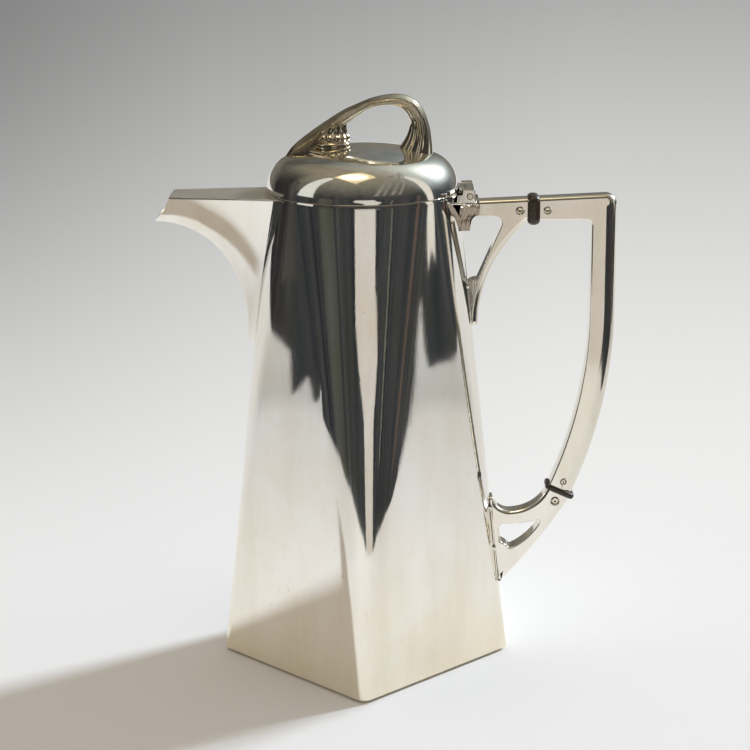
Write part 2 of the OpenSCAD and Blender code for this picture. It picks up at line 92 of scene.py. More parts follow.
def foot_half_side():
    """Half the side of the square foot, from the corner that the frame gives just above the base plate."""
    share = SHELL_LOW / SEAM_Z
    corner = BASE_CORNER + (MOUTH_R - BASE_CORNER) * share
    half = (high("body_shell").x - corner) / sqrt(2) + corner
    return (half - MOUTH_R * share) / (1 - share)


HALF_BASE = foot_half_side()


def half_at(z):
    return HALF_BASE + (MOUTH_R - HALF_BASE) * z / SEAM_Z


def corner_at(z):
    return BASE_CORNER + (MOUTH_R - BASE_CORNER) * z / SEAM_Z


def edge_at(z):
    """Distance from the axis to the body's corner edge."""
    return (half_at(z) - corner_at(z)) * sqrt(2) + corner_at(z)


# ------------------------ plane curves


def polar(centre, radius, angle):
    """Point on a circle; the angle is in degrees."""
    a = radians(angle)
    return (centre[0] + radius * cos(a), centre[1] + radius * sin(a))


def arc(centre, radius, start, end, steps):
    return [polar(centre, radius, start + (end - start) * i / steps) for i in range(steps + 1)]


def circle(centre, radius, count=24):
    return [polar(centre, radius, 360 * i / count) for i in range(count)]


def bow(p, q, sag, steps):
    """Points of an arc from p to q that bulges to the left by sag."""
    p, q = Vector(p), Vector(q)
    chord = (q - p).length
    along = (q - p) / chord
    side = Vector((-along.y, along.x)) * copysign(1, sag)
    depth = abs(sag)
    radius = (chord * chord / 4 + depth * depth) / (2 * depth)
    centre = (p + q) / 2 - side * (radius - depth)
    half = asin(min(1, chord / 2 / radius))
    points = []
    for i in range(steps + 1):
        t = -half + 2 * half * i / steps
        points.append(tuple(centre + radius * (sin(t) * along + cos(t) * side)))
    return points


def line(p, q, steps):
    return [tuple(Vector(p).lerp(Vector(q), i / steps)) for i in range(steps + 1)]


def apart(p, q):
    """Whether two points are more than a ten-thousandth of a millimetre apart."""
    return (Vector(p) - Vector(q)).length > 1e-4


def joined(*runs):
    """One outline from runs of points, without the points that repeat."""
    outline = []
    for run in runs:
        for p in run:
            if not outline or apart(p, outline[-1]):
                outline.append(p)
    return outline if apart(outline[0], outline[-1]) else outline[:-1]


# ------------------------ meshes


def add_mesh(name, points, faces, normals=None):
    """A smooth mesh object from points in millimetres, with its own normals where they are given."""
    mesh = bpy.data.meshes.new(name)
    mesh.from_pydata([Vector(p) * MM for p in points], [], faces)
    mesh.update()
    mesh.shade_smooth()
    if normals:
        mesh.normals_split_custom_set_from_vertices([Vector(n).normalized() for n in normals])
    piece = bpy.data.objects.new(name, mesh)
    bpy.context.scene.collection.objects.link(piece)
    return piece


def outward(piece):
    """Turns all faces of a closed mesh outward."""
    mesh = bmesh.new()
    mesh.from_mesh(piece.data)
    bmesh.ops.recalc_face_normals(mesh, faces=mesh.faces)
    mesh.to_mesh(piece.data)
    mesh.free()


def dress(piece, look, *replaced, sharp=None):
    """Gives a piece the material and the body of its look, which is (material, slot, body), and hides the
    CAD nodes that it stands for.

    Edges that turn by more than sharp, in degrees, are drawn as sharp edges.
    """
    material, slot, body = look
    piece.data.materials.clear()
    piece.data.materials.append(material)
    if sharp:
        piece.data.shade_smooth()
        piece.data.set_sharp_from_angle(angle=radians(sharp))
    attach(piece, body)
    if replaced:
        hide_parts(*replaced)


def skin(rings, closed=False, caps=False):
    """Points and faces through rings, which run anticlockwise when seen from beyond the last ring."""
    n = len(rings[0])
    points = [p for ring in rings for p in ring]
    faces = []
    for k in range(len(rings) if closed else len(rings) - 1):
        a, b = k * n, (k + 1) % len(rings) * n
        for i in range(n):
            j = (i + 1) % n
            faces.append((a + i, a + j, b + j, b + i))
    if caps:
        faces.append(tuple(reversed(range(n))))
        faces.append(tuple(range(len(points) - n, len(points))))
    return points, faces


def loft(name, rings, closed=False, caps=False, more_faces=()):
    """A mesh object of the skin through rings."""
    points, faces = skin(rings, closed, caps)
    return add_mesh(name, points, faces + list(more_faces))


def pierce(piece, rods):
    """Cuts rods, each given as its two end rings, out of a piece."""
    points, faces = [], []
    for rod in rods:
        spots, sides = skin(rod, caps=True)
        faces += [tuple(len(points) + i for i in face) for face in sides]
        points += spots
    tool = add_mesh("cutter", points, faces)
    outward(tool)
    cut = piece.modifiers.new("cut", "BOOLEAN")
    cut.operation, cut.solver, cut.object = "DIFFERENCE", "EXACT", tool
    pierced = bpy.data.meshes.new_from_object(piece.evaluated_get(bpy.context.evaluated_depsgraph_get()))
    piece.modifiers.clear()
    piece.data = pierced
    bpy.data.objects.remove(tool)


def revolve(name, profile, segments=192):
    """Ring solid from a closed anticlockwise profile of (radius, z), with the radius to the right."""
    rings = [[(*p, z) for p in circle((0, 0), r, segments)] for r, z in profile]
    return loft(name, rings, closed=True)


def outline_of(runs):
    """Points, edge radii and inward normals of an anticlockwise outline.

    A run is (points, radius). The word "end" between two runs makes the straight edge that joins
    them a flat end, which keeps the section of its neighbours.
    """
    points, radii, one_sided = [], [], {}
    for run in runs:
        if run == "end":
            one_sided[len(points) - 1] = "before"
            one_sided[len(points)] = "after"
            continue
        for p in run[0]:
            if not points or apart(p, points[-1]):
                points.append(Vector(p))
                radii.append(run[1])
    if not apart(points[0], points[-1]):
        points.pop()
        radii.pop()
    n = len(points)
    if n in one_sided:
        one_sided[0] = one_sided.pop(n)
    soft, normals = [], []
    for i in range(n):
        before = (points[i] - points[i - 1]).normalized()
        after = (points[(i + 1) % n] - points[i]).normalized()
        if i in one_sided:
            soft.append(radii[i])
            along = before if one_sided[i] == "before" else after
            share = max(along.dot(before), along.dot(after))
        else:
            soft.append(sum(radii[(i + k) % n] for k in (-1, 0, 1)) / 3)
            along = (before + after).normalized()
            share = along.dot(after)
        normals.append(Vector((-along.y, along.x)) / max(0.6, share))
    return points, soft, normals


def standing(shift=0.0):
    """Maps a plate, front to -Y, into a plane beside that of handle and spout."""
    return lambda u, v, w: (u, shift - w, v)


def plate(name, runs, thickness, holes=(), hole_radius=0.5, steps=8, place=standing()):
    """A flat piece with its own edge radius at each point of the outline, and holes as lists of points."""
    points, normals, faces, flat, index = [], [], [], [], []
    half, count, back = thickness / 2, 2 * (steps + 1), 2 * steps + 1
    origin = Vector(place(0, 0, 0))
    for loop, rounds, into in [outline_of(runs)] + [outline_of([(hole, hole_radius)]) for hole in holes]:
        start, n = len(points), len(loop)
        for p, r, w in zip(loop, rounds, into):
            deep = min(r, half)
            unit = w.normalized()
            for side in (1, -1):
                for s in range(steps + 1):
                    t = pi / 2 * (s if side > 0 else steps - s) / steps
                    u, v = p + w * r * (1 - sin(t))
                    points.append(place(u, v, side * (half - deep * (1 - cos(t)))))
                    tip = place(*(-unit * sin(t) * deep), side * cos(t) * r)
                    normals.append(Vector(tip) - origin)
        for i in range(n):
            a, b = start + i * count, start + (i + 1) % n * count
            index.append(a)
            for s in range(back):
                faces.append((a + s, a + s + 1, b + s + 1, b + s))
        flat.append([(p + w * r).to_3d() for p, r, w in zip(loop, rounds, into)])
    spots = [p for front in flat for p in front]
    for a, b, c in tessellate_polygon(flat):
        if (spots[b] - spots[a]).cross(spots[c] - spots[a]).z < 0:
            b, c = c, b
        a, b, c = index[a], index[b], index[c]
        faces += [(a, b, c), (a + back, c + back, b + back)]
    return add_mesh(name, points, faces, normals)


def body_ring(z, grow, waves=0.0, arc_steps=36, side_steps=14):
    """One section of the body: round corners joined by sides that bulge a little higher up."""
    half, corner = half_at(z), corner_at(z)
    beta = max(FACE_BULGE * min(z, SEAM_Z) / SEAM_Z, 1e-3)
    span = max(half - corner, 1e-6) / (1 + sin(beta) - cos(beta))
    reach = span * sin(beta) * sqrt(2)
    side_r = span + corner
    ring = []
    for k in range(4):
        turn = radians(90 * k)
        centre = Vector((reach * cos(turn), reach * sin(turn)))
        for i in range(arc_steps + 1):
            a = turn - pi / 4 + beta + (pi / 2 - 2 * beta) * i / arc_steps
            ring.append((centre, max(corner + grow, 0.05), a))
        a = turn + pi / 4
        centre = Vector((cos(a), sin(a))) * (half - side_r)
        for i in range(1, side_steps):
            ring.append((centre, side_r + grow, a - beta + 2 * beta * i / side_steps))
    points = []
    for centre, radius, a in ring:
        out = Vector((cos(a), sin(a)))
        p = centre + out * radius
        if waves:
            bump = noise.noise(Vector((*p, z * 0.7)) / WAVE_LENGTH) * waves
            p = centre + out * (radius + bump)
        points.append((*p, z))
    return points


# ------------------------ materials


def shader(name, **sockets):
    """A new material and its Principled shader, with plain values on the named sockets."""
    material = bpy.data.materials.new(name)
    material.use_nodes = True
    surface = material.node_tree.nodes["Principled BSDF"]
    for socket, value in sockets.items():
        surface.inputs[socket.replace("_", " ")].default_value = value
    return material, surface


def add_node(tree, kind, **values):
    """New node in a material or a world, with its settings and its plain socket values."""
    node = tree.node_tree.nodes.new("ShaderNode" + kind)
    for key, value in values.items():
        if hasattr(node, key):
            setattr(node, key, value)
        else:
            node.inputs[key.replace("_", " ")].default_value = value
    return node


def link(tree, output, socket):
    tree.node_tree.links.new(output, socket)


def feed(tree, value, socket):
    """Sets a number or a colour on a socket, or links an output to it."""
    if isinstance(value, (int, float)):
        socket.default_value = value
    elif isinstance(value, tuple):
        socket.default_value = (*value, 1)
    else:
        link(tree, value, socket)


def ramp(tree, fac, stops):
    """Colour ramp with (place, grey or colour) stops."""
    node = add_node(tree, "ValToRGB")
    elements = node.color_ramp.elements
    while len(elements) < len(stops):
        elements.new(0.5)
    for element, (place, value) in zip(elements, stops):
        element.position = place
        element.color = (*value, 1) if isinstance(value, tuple) else (value, value, value, 1)
    link(tree, fac, node.inputs["Fac"])
    return node.outputs["Color"]


def blend(tree, fac, a, b, mode="MIX"):
    node = add_node(tree, "Mix", data_type="RGBA", blend_type=mode)
    for value, name in ((fac, "Factor"), (a, "A"), (b, "B")):
        feed(tree, value, node.inputs[name])
    return node.outputs["Result"]


def calc(tree, operation, *values):
    node = add_node(tree, "Math", operation=operation)
    for value, socket in zip(values, node.inputs):
        feed(tree, value, socket)
    return node.outputs[0]


def cloudy(tree, place, **values):
    """Noise over a place, as a factor."""
    node = add_node(tree, "TexNoise", **values)
    link(tree, place, node.inputs["Vector"])
    return node.outputs["Fac"]


def stretched(tree, place, scale, turn=(0.0, 0.0, 0.0)):
    node = add_node(tree, "Mapping", Scale=scale, Rotation=turn)
    link(tree, place, node.inputs["Vector"])
    return node.outputs["Vector"]


def between(tree, value, first, last, **values):
    """Share, from 0 to 1, of the way of a value from first to last."""
    node = add_node(tree, "MapRange", From_Min=first, From_Max=last, **values)
    link(tree, value, node.inputs["Value"])
    return node.outputs[0]


def split(tree, vector):
    node = add_node(tree, "SeparateXYZ")
    link(tree, vector, node.inputs[0])
    return node.outputs


def position(tree):
    return add_node(tree, "NewGeometry").outputs["Position"]


def roughen(material, surface, height, strength, distance):
    bump = add_node(material, "Bump", Strength=strength, Distance=distance)
    link(material, height, bump.inputs["Height"])
    link(material, bump.outputs["Normal"], surface.inputs["Normal"])


def silver(name, light_tone, dark_tone, rough, haze, warm_foot=False):
    """Polished silver: warm clouds, upright smears, specks, a film, hazy patches and fine scratches."""
    material, surface = shader(name, Metallic=1.0)
    place = add_node(material, "TexCoord").outputs["Object"]
    upward = stretched(material, place, (1.0, 1.0, 0.16))
    along_scratches = stretched(material, place, (1.0, 1.0, 0.05), (0.3, 0.2, 0.0))
    clouds = cloudy(material, place, Scale=22.0, Detail=7.0, Roughness=0.66)
    smears = cloudy(material, upward, Scale=75.0, Detail=4.0, Roughness=0.6)
    specks = cloudy(material, place, Scale=420.0, Detail=3.0, Roughness=0.6)
    film = cloudy(material, upward, Scale=34.0, Detail=8.0, Roughness=0.72, Distortion=0.6)
    patches = cloudy(material, place, Scale=140.0, Detail=5.0, Roughness=0.7)
    scratches = cloudy(material, along_scratches, Scale=2600.0, Detail=3.0)
    # Clouds run from the light tone to the dark one: tarnish on the bright silvers, painted shade on the
    # dark brown silver
    middle_tone = tuple((2 * a + b) / 3 for a, b in zip(light_tone, dark_tone))
    tint = ramp(material, clouds, [(0.38, light_tone), (0.5, middle_tone), (0.7, dark_tone)])
    layers = [
        ramp(material, smears, [(0.42, 1.0), (0.75, (0.92, 0.905, 0.87))]),
        ramp(material, specks, [(0.25, (0.78, 0.72, 0.62)), (0.31, 1.0)]),
    ]
    if warm_foot:
        layers.append(ramp(material, split(material, place)["Z"], [
            (0.0, (0.95, 0.9, 0.79)), (0.02, (0.975, 0.95, 0.9)), (0.06, (1.0, 0.99, 0.975)), (0.1, 1.0),
        ]))
    for layer in layers:
        tint = blend(material, 1.0, tint, layer, "MULTIPLY")
    link(material, tint, surface.inputs["Base Color"])
    link(material, ramp(material, film, [(0.46, 1.0), (0.66, 0.975)]), surface.inputs["Metallic"])
    gloss = ramp(material, calc(material, "ADD", clouds, patches), [(0.75, rough), (1.0, haze)])
    link(material, gloss, surface.inputs["Roughness"])
    roughen(material, surface, scratches, 0.25, 0.00002)
    return material


def horn():
    """Dark brown horn with faint streaks and a waxed gloss."""
    material, surface = shader("dark_horn", IOR=1.54)
    place = add_node(material, "TexCoord").outputs["Object"]
    streaks = cloudy(material, place, Scale=420.0, Detail=6.0, Distortion=1.4)
    tint = ramp(material, streaks, [(0.3, (0.018, 0.011, 0.007)), (0.75, (0.062, 0.036, 0.022))])
    link(material, tint, surface.inputs["Base Color"])
    link(material, ramp(material, streaks, [(0.3, 0.3), (0.8, 0.5)]), surface.inputs["Roughness"])
    roughen(material, surface, streaks, 0.3, 0.0001)
    return material


SILVER_CLEAN = (0.955, 0.945, 0.925)
SILVER_WARM = (0.90, 0.86, 0.77)
body_silver = silver("body_silver", SILVER_CLEAN, SILVER_WARM, 0.01, 0.045, warm_foot=True)
lid_silver = silver("lid_silver", SILVER_CLEAN, SILVER_WARM, 0.02, 0.07)
satin_silver = silver("satin_silver", (0.92, 0.89, 0.84), (0.84, 0.78, 0.68), 0.32, 0.4)
handle_silver = silver("handle_silver", (0.91, 0.88, 0.82), (0.82, 0.77, 0.66), 0.03, 0.08)
knob_silver = silver("knob_silver", (0.80, 0.74, 0.62), (0.60, 0.48, 0.32), 0.03, 0.08)
# Dark brown silver, which paints shade: the dark line of shade in the seam at the lid's bead, and the shade
# and dark reflections on the fluted bracket under the hinge's ledge
painted_shade_silver = silver("painted_shade_silver", (0.40, 0.34, 0.28), (0.24, 0.19, 0.15), 0.05, 0.14)

# Looks: material, slot and body
WALL = (body_silver, "silver_body", "pot")
SATIN = (satin_silver, "silver_body", "pot")
HANDLE = (handle_silver, "silver_handle", "pot")
# Painted shade: the dark silver on the bracket under the hinge's ledge
PAINTED_SHADE_HANDLE = (painted_shade_silver, "silver_handle", "pot")
LID = (lid_silver, "silver_lid", "lid")
# Painted shade: the dark silver on the lid's bead, where the seam between lid and body lies in shade
PAINTED_SHADE_LID = (painted_shade_silver, "silver_lid", "lid")
KNOB = (knob_silver, "cast_silver", "lid")
PIN = (knob_silver, "fastener", "pot")
HORN = (horn(), "insulator", "pot")


# ------------------------ body


def strainer_rods():
    """Cutters through the wall behind the spout, in rows that widen upward."""
    wall = -edge_at(SPOUT_ROOT)
    rods = []
    for row in range(STRAINER_ROWS):
        z = SPOUT_ROOT + STRAINER_RISE + row * STRAINER_PITCH * 1.3
        for i in range(row + 1):
            hole = circle(((i - row / 2) * STRAINER_PITCH, z), STRAINER_HOLE / 2)
            rods.append([[(x, *p) for p in reversed(hole)] for x in (wall - 5, wall + 12)])
    return rods


def make_body_shell():
    """Raised wall with a soft lower edge, its inside, its mouth and its strainer."""
    bevel, bevel_steps, rows, inner_rows = 0.9, 8, 60, 20
    start = SHELL_LOW + bevel
    rings = []
    for i in range(bevel_steps + 1):
        t = pi / 2 * i / bevel_steps
        z = SHELL_LOW + bevel * (1 - cos(t))
        rings.append(body_ring(z, -bevel * (1 - sin(t)), WAVE_DEPTH * i / bevel_steps))
    for i in range(1, rows + 1):
        z = start + (SHELL_TOP - start) * i / rows
        rings.append(body_ring(z, 0, WAVE_DEPTH * min(1, (rows - i) / 6)))
    for i in range(inner_rows + 1):
        rings.append(body_ring(SHELL_TOP + (SHELL_LOW - SHELL_TOP) * i / inner_rows, -SHEET))
    piece = loft("body_wall", rings, closed=True)
    pierce(piece, strainer_rods())
    dress(piece, WALL, "body_shell", sharp=35)


def make_base_plate():
    """Plate closing the foot, over a foot that is set in, which leaves a dark gap."""
    rings = []
    for z, inset in ((0, 3.4), (0, 3.1), (0.25, 2.9), (0.8, 2.9), (0.8, 0.9), (SHELL_LOW, 0.8)):
        rings.append([(x, y, z) for x, y, _ in body_ring(SHELL_LOW, -inset)])
    piece = loft("base_foot", rings, caps=True)
    dress(piece, WALL, "base_plate", sharp=35)


def make_rim():
    """Ring soldered round the mouth: a narrow band that leans in a little, over its spigot."""
    bore = MOUTH_R - 2.1
    spigot = MOUTH_R - SHEET - 0.1
    foot = low("rim_bezel").z
    profile = [
        (bore, foot), (spigot, foot), (spigot, SHELL_TOP), (MOUTH_R - 0.1, SHELL_TOP),
        (MOUTH_R + RIM_PROUD, SHELL_TOP + 0.08), (MOUTH_R + RIM_PROUD, SHELL_TOP + 0.2),
        (MOUTH_R - 0.12, SEAM_Z - 0.1), (MOUTH_R - 0.25, SEAM_Z), (bore, SEAM_Z),
    ]
    piece = revolve("mouth_ring", profile)
    dress(piece, WALL, "rim_bezel", sharp=30)


# ------------------------ lid


def dome_profile():
    """Outer half section of the dome from its edge to the crown, as (radius, z)."""
    fall = CROWN_Z - SEAM_Z - SHOULDER_RISE
    shoulder_x = MOUTH_R - SHOULDER_R
    crown_r = (shoulder_x**2 + fall**2 - SHOULDER_R**2) / (2 * (fall - SHOULDER_R))
    lean = degrees(atan2(shoulder_x, SEAM_Z + SHOULDER_RISE - CROWN_Z + crown_r))
    shoulder = []
    for r, z in arc((shoulder_x, SEAM_Z + SHOULDER_RISE), SHOULDER_R, 0, 90 - lean, 40):
        share = len(shoulder) / 40
        shoulder.append((r, z - (SEAM_Z + SHOULDER_RISE - BEAD_LINE) * (1 - share) ** 2))
    crown = arc((0, CROWN_Z - crown_r), crown_r, 90 - lean, 90, 24)
    return joined([(MOUTH_R, BEAD_LINE)], shoulder, crown)


def make_dome():
    outer = dome_profile()
    inner = [(max(r - DOME_SHEET * r / MOUTH_R, 0), z - DOME_SHEET * (z > BEAD_LINE + 1)) for r, z in outer]
    profile = outer[:-1] + [(0.01, outer[-1][1]), (0.01, inner[-1][1])] + inner[-2::-1]
    piece = revolve("lid_cap", profile, 240)
    dress(piece, LID, "lid_dome", sharp=40)


def make_lid_bead():
    """Bead round the lid's edge over its collar."""
    collar = high("lid_bezel").x - BEAD_PROUD - 2.5
    inside = collar - 0.9
    foot = low("lid_bezel").z
    half = (BEAD_LINE - SEAM_Z) / 2
    bead = arc((MOUTH_R - 0.05, SEAM_Z + half), half, -90, 90, 12)
    profile = joined([(inside, foot), (collar, foot), (collar, SEAM_Z)], bead, [(inside, BEAD_LINE)])
    piece = revolve("lid_bead", profile)
    # The bead takes the dark silver: painted shade of the seam between lid and body
    dress(piece, PAINTED_SHADE_LID, "lid_bezel", sharp=40)


# Stations along the knob's bar: outer and inner edge, each as x and height above the crown, then the share
# of the bar's half width, the place of the ridge between the edges and the depth of the ribs
KNOB_BAR = [
    (-31.2, -4.4, -30.4, -6, 0.15, 0.3, 0), (-28.6, -0.7, -27, -6, 0.5, 0.3, 0),
    (-24.2, 3.1, -22, -5, 0.75, 0.28, 0), (-19.9, 6.3, -17.6, -1.2, 0.92, 0.27, 0),
    (-15.6, 9.2, -13, 3.4, 1.0, 0.22, 0.4), (-11.3, 12, -8.8, 6.6, 1.0, 0.2, 1),
    (-7, 14.5, -4.7, 9.4, 0.98, 0.2, 1), (-2.5, 16.5, -0.6, 12.3, 0.96, 0.2, 1),
    (4, 19.1, 4.6, 15.1, 0.96, 0.24, 1), (11.2, 20.5, 10.6, 16, 1, 0.26, 1),
    (16.4, 20.4, 14.4, 15.4, 1, 0.24, 1), (20, 19.1, 16.6, 14.1, 1, 0.2, 1.1),
    (22.8, 17, 18.2, 12.2, 1, 0.18, 1.2), (25.4, 13, 19, 9.8, 1, 0.16, 1.3),
    (27.3, 7.4, 18.9, 6.8, 1.1, 0.15, 1.4), (28.3, 1.4, 17.4, 2.6, 1.25, 0.15, 1.4),
    (28.8, -5, 14, -2.4, 1.5, 0.15, 1.2),
]
KNOB_HALF = high("knob").y / KNOB_BAR[-1][4]
# Rings of the left leg: height above the crown, left and right end, half depth, flute depth
KNOB_LEG = [
    (-1.6, -18.6, -5.0, 5.3, 0), (-0.6, -18.9, -4.8, 5.5, 0), (0.3, -18.9, -4.8, 5.5, 0),
    (0.9, -18.5, -5.1, 5.2, 0), (1.2, -18.0, -5.6, 4.8, 0.05), (1.5, -18.0, -5.6, 4.8, 0.2),
    (2.1, -18.5, -5.2, 5.1, 0.4), (2.8, -18.6, -5.0, 5.2, 0.45), (3.5, -18.3, -5.2, 5.0, 0.45),
    (4.1, -17.5, -5.7, 4.5, 0.45), (4.9, -17.1, -6.1, 4.1, 0.5), (6.2, -16.8, -6.3, 4.0, 0.55),
    (7.4, -16.5, -6.4, 4.0, 0.55), (8.6, -15.4, -6.2, 4.0, 0.5), (9.8, -13.6, -5.4, 3.9, 0.45),
    (11.0, -11.6, -4.3, 3.8, 0.3), (12.2, -9.5, -3.2, 3.6, 0.2),
]


def smoothed(rows, steps):
    """Rows of numbers with smooth rows between them."""
    result = []
    for k in range(len(rows) - 1):
        a, b, c, d = (rows[min(max(k + i, 0), len(rows) - 1)] for i in (-1, 0, 1, 2))
        for s in range(steps):
            t = s / steps
            row = []
            for before, start, end, after in zip(a, b, c, d):
                bend = 2 * before - 5 * start + 4 * end - after
                twist = 3 * start - before - 3 * end + after
                row.append(0.5 * (2 * start + (end - before) * t + bend * t * t + twist * t**3))
            result.append(row)
    result.append(list(rows[-1]))
    return result


def bar_section(outer, inner, half, ridge, ribs):
    """Section of the knob's bar: a flat back with a ridge on each side, and ribbed flanks."""
    across = []
    for i in range(9):
        s = i / 8
        across.append((ridge * s**1.7 + 0.05 * sin(pi * s) ** 2 * s, 0.98 * s))
    for i in range(1, 37):
        u = i / 36
        base = (1 - u**3) ** 0.55
        groove = 0.09 * sin(pi * min(1, u * 9))
        wave = 0.07 * ribs * cos(tau * 3.5 * u) * (1 - u**6) - groove
        flat_side = 1 - 0.22 * (1 - min(1, ribs)) * sin(pi * min(1, u * 1.2)) ** 0.7
        across.append((ridge + (1 - ridge) * u, base * (1 + wave) * flat_side * (0.96 if i < 2 else 1)))
    side = []
    for t, y in across:
        spot = Vector(outer).lerp(Vector(inner), t)
        side.append((spot.x, half * y, CROWN_Z + spot.y))
    return [(x, -y, z) for x, y, z in side] + list(reversed(side[1:-1]))


def make_knob():
    """Looped knob: a ribbed bar with a tail, and a fluted leg on a double foot ring."""
    bar = []
    for row in smoothed(KNOB_BAR, 7):
        share, ridge, ribs = row[4:]
        bar.append(bar_section(row[:2], row[2:4], share * KNOB_HALF, ridge, max(0, ribs)))
    leg, count, flutes = [], 144, 16
    for z, x0, x1, deep, flute in smoothed(KNOB_LEG, 4):
        ring = []
        for i in range(count):
            a = tau * i / count
            cut = flute * abs(sin(flutes / 2 * a)) ** 0.8
            x = (x0 + x1) / 2 + ((x1 - x0) / 2 - cut) * cos(a)
            ring.append((x, (deep - cut) * sin(a), CROWN_Z + z))
        leg.append(ring)
    for name, rings, replaced in (("knob_bar", bar, ["knob"]), ("knob_leg", leg, [])):
        piece = loft(name, rings, caps=True)
        outward(piece)
        dress(piece, KNOB, *replaced, sharp=60)


# ------------------------ spout

SPOUT_REACH = -low("spout_shell").x
SPOUT_END = -low("spout_cover").x
SPOUT_START = MOUTH_R - 6
SPOUT_TOP = SHELL_TOP - 0.3
KEEL_TOE = 2.4
KEEL_SQUARE = 0.8
LIP_DROP = 11.1
SPOUT_WIDE = 32.0
SPOUT_NARROW = 20.5


def body_gap(x, y, z):
    """Signed distance from the body's outer surface."""
    half, corner = half_at(z), corner_at(z)
    u = abs(x + y) / sqrt(2) - (half - corner)
    v = abs(y - x) / sqrt(2) - (half - corner)
    return hypot(max(u, 0), max(v, 0)) + min(max(u, v), 0) - corner


def spout_half(x):
    """Half the width of the flat top at a place on its length."""
    return SPOUT_NARROW / 2 + (SPOUT_WIDE - SPOUT_NARROW) / 2 * (x + SPOUT_END) / (SPOUT_END - MOUTH_R)


def spout_point(q, a, inset):
    """Point of the spout's wall. q runs from -1 over the keel at 0 to 1; a is the slice's angle."""
    t = radians(a)
    rise = SHELL_TOP - LIP_DROP - SPOUT_ROOT
    turn_in = 4 * min(1, max(0, -a / 4))
    keel = Vector((
        -SPOUT_REACH + (SPOUT_REACH - edge_at(SPOUT_ROOT) - KEEL_TOE) * cos(t) + turn_in,
        SPOUT_ROOT + rise * copysign(abs(sin(t)) ** KEEL_SQUARE, a),
    ))
    top = Vector((-SPOUT_START - (SPOUT_END - SPOUT_START) * a / 90, SPOUT_TOP))
    height = (top - keel).length
    up = (top - keel) / height
    share = abs(q) ** 1.6
    full = 0.74 - 0.26 * min(1, max(0, a / 60))
    width = (spout_half(top.x) - inset) * share**full
    lift = inset * 1.25 * (1 - share) + share * height
    hollow = 3.4 * share * (1 - share) * max(0, a / 90) ** 6
    spot = keel + up * lift + Vector((hollow, 0))
    return (spot.x, copysign(width, q), spot.y)


def last_held(first, last, test):
    """The place, between first and last, at which a test that holds at first stops holding."""
    for _ in range(30):
        half_way = (first + last) / 2
        first, last = (half_way, last) if test(half_way) else (first, half_way)
    return first


def spout_start(q, inset):
    """Angle of the slice at which the wall leaves the body."""
    return last_held(-20.0, 60.0, lambda a: body_gap(*spout_point(q, a, inset)) < -0.4)


def make_spout():
    """Wall of the spout, from where it leaves the body to its lip."""
    lines, steps = 40, 36
    walls = []
    for inset in (0, SHEET):
        wall = []
        for i in range(lines + 1):
            q = 2 * i / lines - 1
            first = spout_start(q, inset)
            wall.append([spout_point(q, first + (90 - first) * s / steps, inset) for s in range(steps + 1)])
        walls.append(wall)
    outer, inner = walls
    rings = [[row[s] for row in outer] + [row[s] for row in reversed(inner)] for s in range(steps + 1)]
    n = len(rings[0])
    last = steps * n
    ends = []
    for i in range(lines):
        ends.append((i, n - 1 - i, n - 2 - i, i + 1))
        ends.append((last + i, last + i + 1, last + n - 2 - i, last + n - 1 - i))
    piece = loft("spout_wall", rings, more_faces=ends)
    dress(piece, WALL, "spout_shell", sharp=42)


def make_spout_cover():
    """Flat plate over the spout, level with the top of the body."""
    x0, x1 = -SPOUT_END, -MOUTH_R + 1.5
    tip, root = spout_half(x0), spout_half(x1)
    back = []
    for i in range(13):
        y = root - 2 * root * i / 12
        back.append((-sqrt((MOUTH_R - 0.4) ** 2 - y * y), -y))
    near = back[0][0]
    wide = spout_half(near)
    runs = [
        (arc((x0 + 1, -tip + 1), 1, 180, 270, 4), 0.35),
        ([(x0 + 0.6, -tip), (near, -wide)], 0.35), "end",
        (back, 0.05), "end",
        ([(near, wide), (x0 + 0.6, tip)], 0.35),
        (arc((x0 + 1, tip - 1), 1, 90, 180, 4), 0.35),
    ]
    level = SHELL_TOP - SHEET / 2 + 0.3
    piece = plate("spout_plate", runs, SHEET, steps=4, place=lambda u, v, w: (u, v, level + w))
    dress(piece, SATIN, "spout_cover")


# ------------------------ handle

HANDLE_THICK = high("handle_grip").y * 2
HANDLE_REACH = high("handle_grip").x
LEDGE_Z = low("hinge_block").z
LEDGE_END = high("hinge_block").x
TOP_SLOPE = 0.045
ARM_HEIGHT = 8.1
ARM_BOTTOM = LEDGE_Z - ARM_HEIGHT
GRIP_WIDTH = 10.5
GRIP_RADIUS = 197.0
GRIP_BEND = 150.0
GRIP_X = HANDLE_REACH - GRIP_RADIUS
CORNER_OUTER = 4.5
LOWER_ANGLE = 24.0
UPPER_DISC = 5.4
LOWER_DISC = 2.5
DISC_PROUD = 1.6
JOINT_LOW = 0.45
LOWER_PROUD = 1.2
PIN_R = 1.45
PIN_HOLE_R = 1.62
ROUND_SIDE = 5.2
TOP_EDGE = 1.6
SOFT_EDGE = 0.7
BRACE_FOOT = 144.0
LEDGE_THICK = 0.9
CORBEL_TALL = 12.2
HINGE_WIDE = high("hinge_pin").y * 2
HINGE_X = middle("hinge_pin").x
HINGE_Z = middle("hinge_pin").z
KNUCKLE_WIDE = 13.2
KNUCKLE_HALF = 2.35
LEAF_THICK = 1.4
PIN_SLOT_R = 1.1
SOCKET_FOOT = 31.5


def top_at(x):
    return LEDGE_Z + (x - LEDGE_END) * TOP_SLOPE


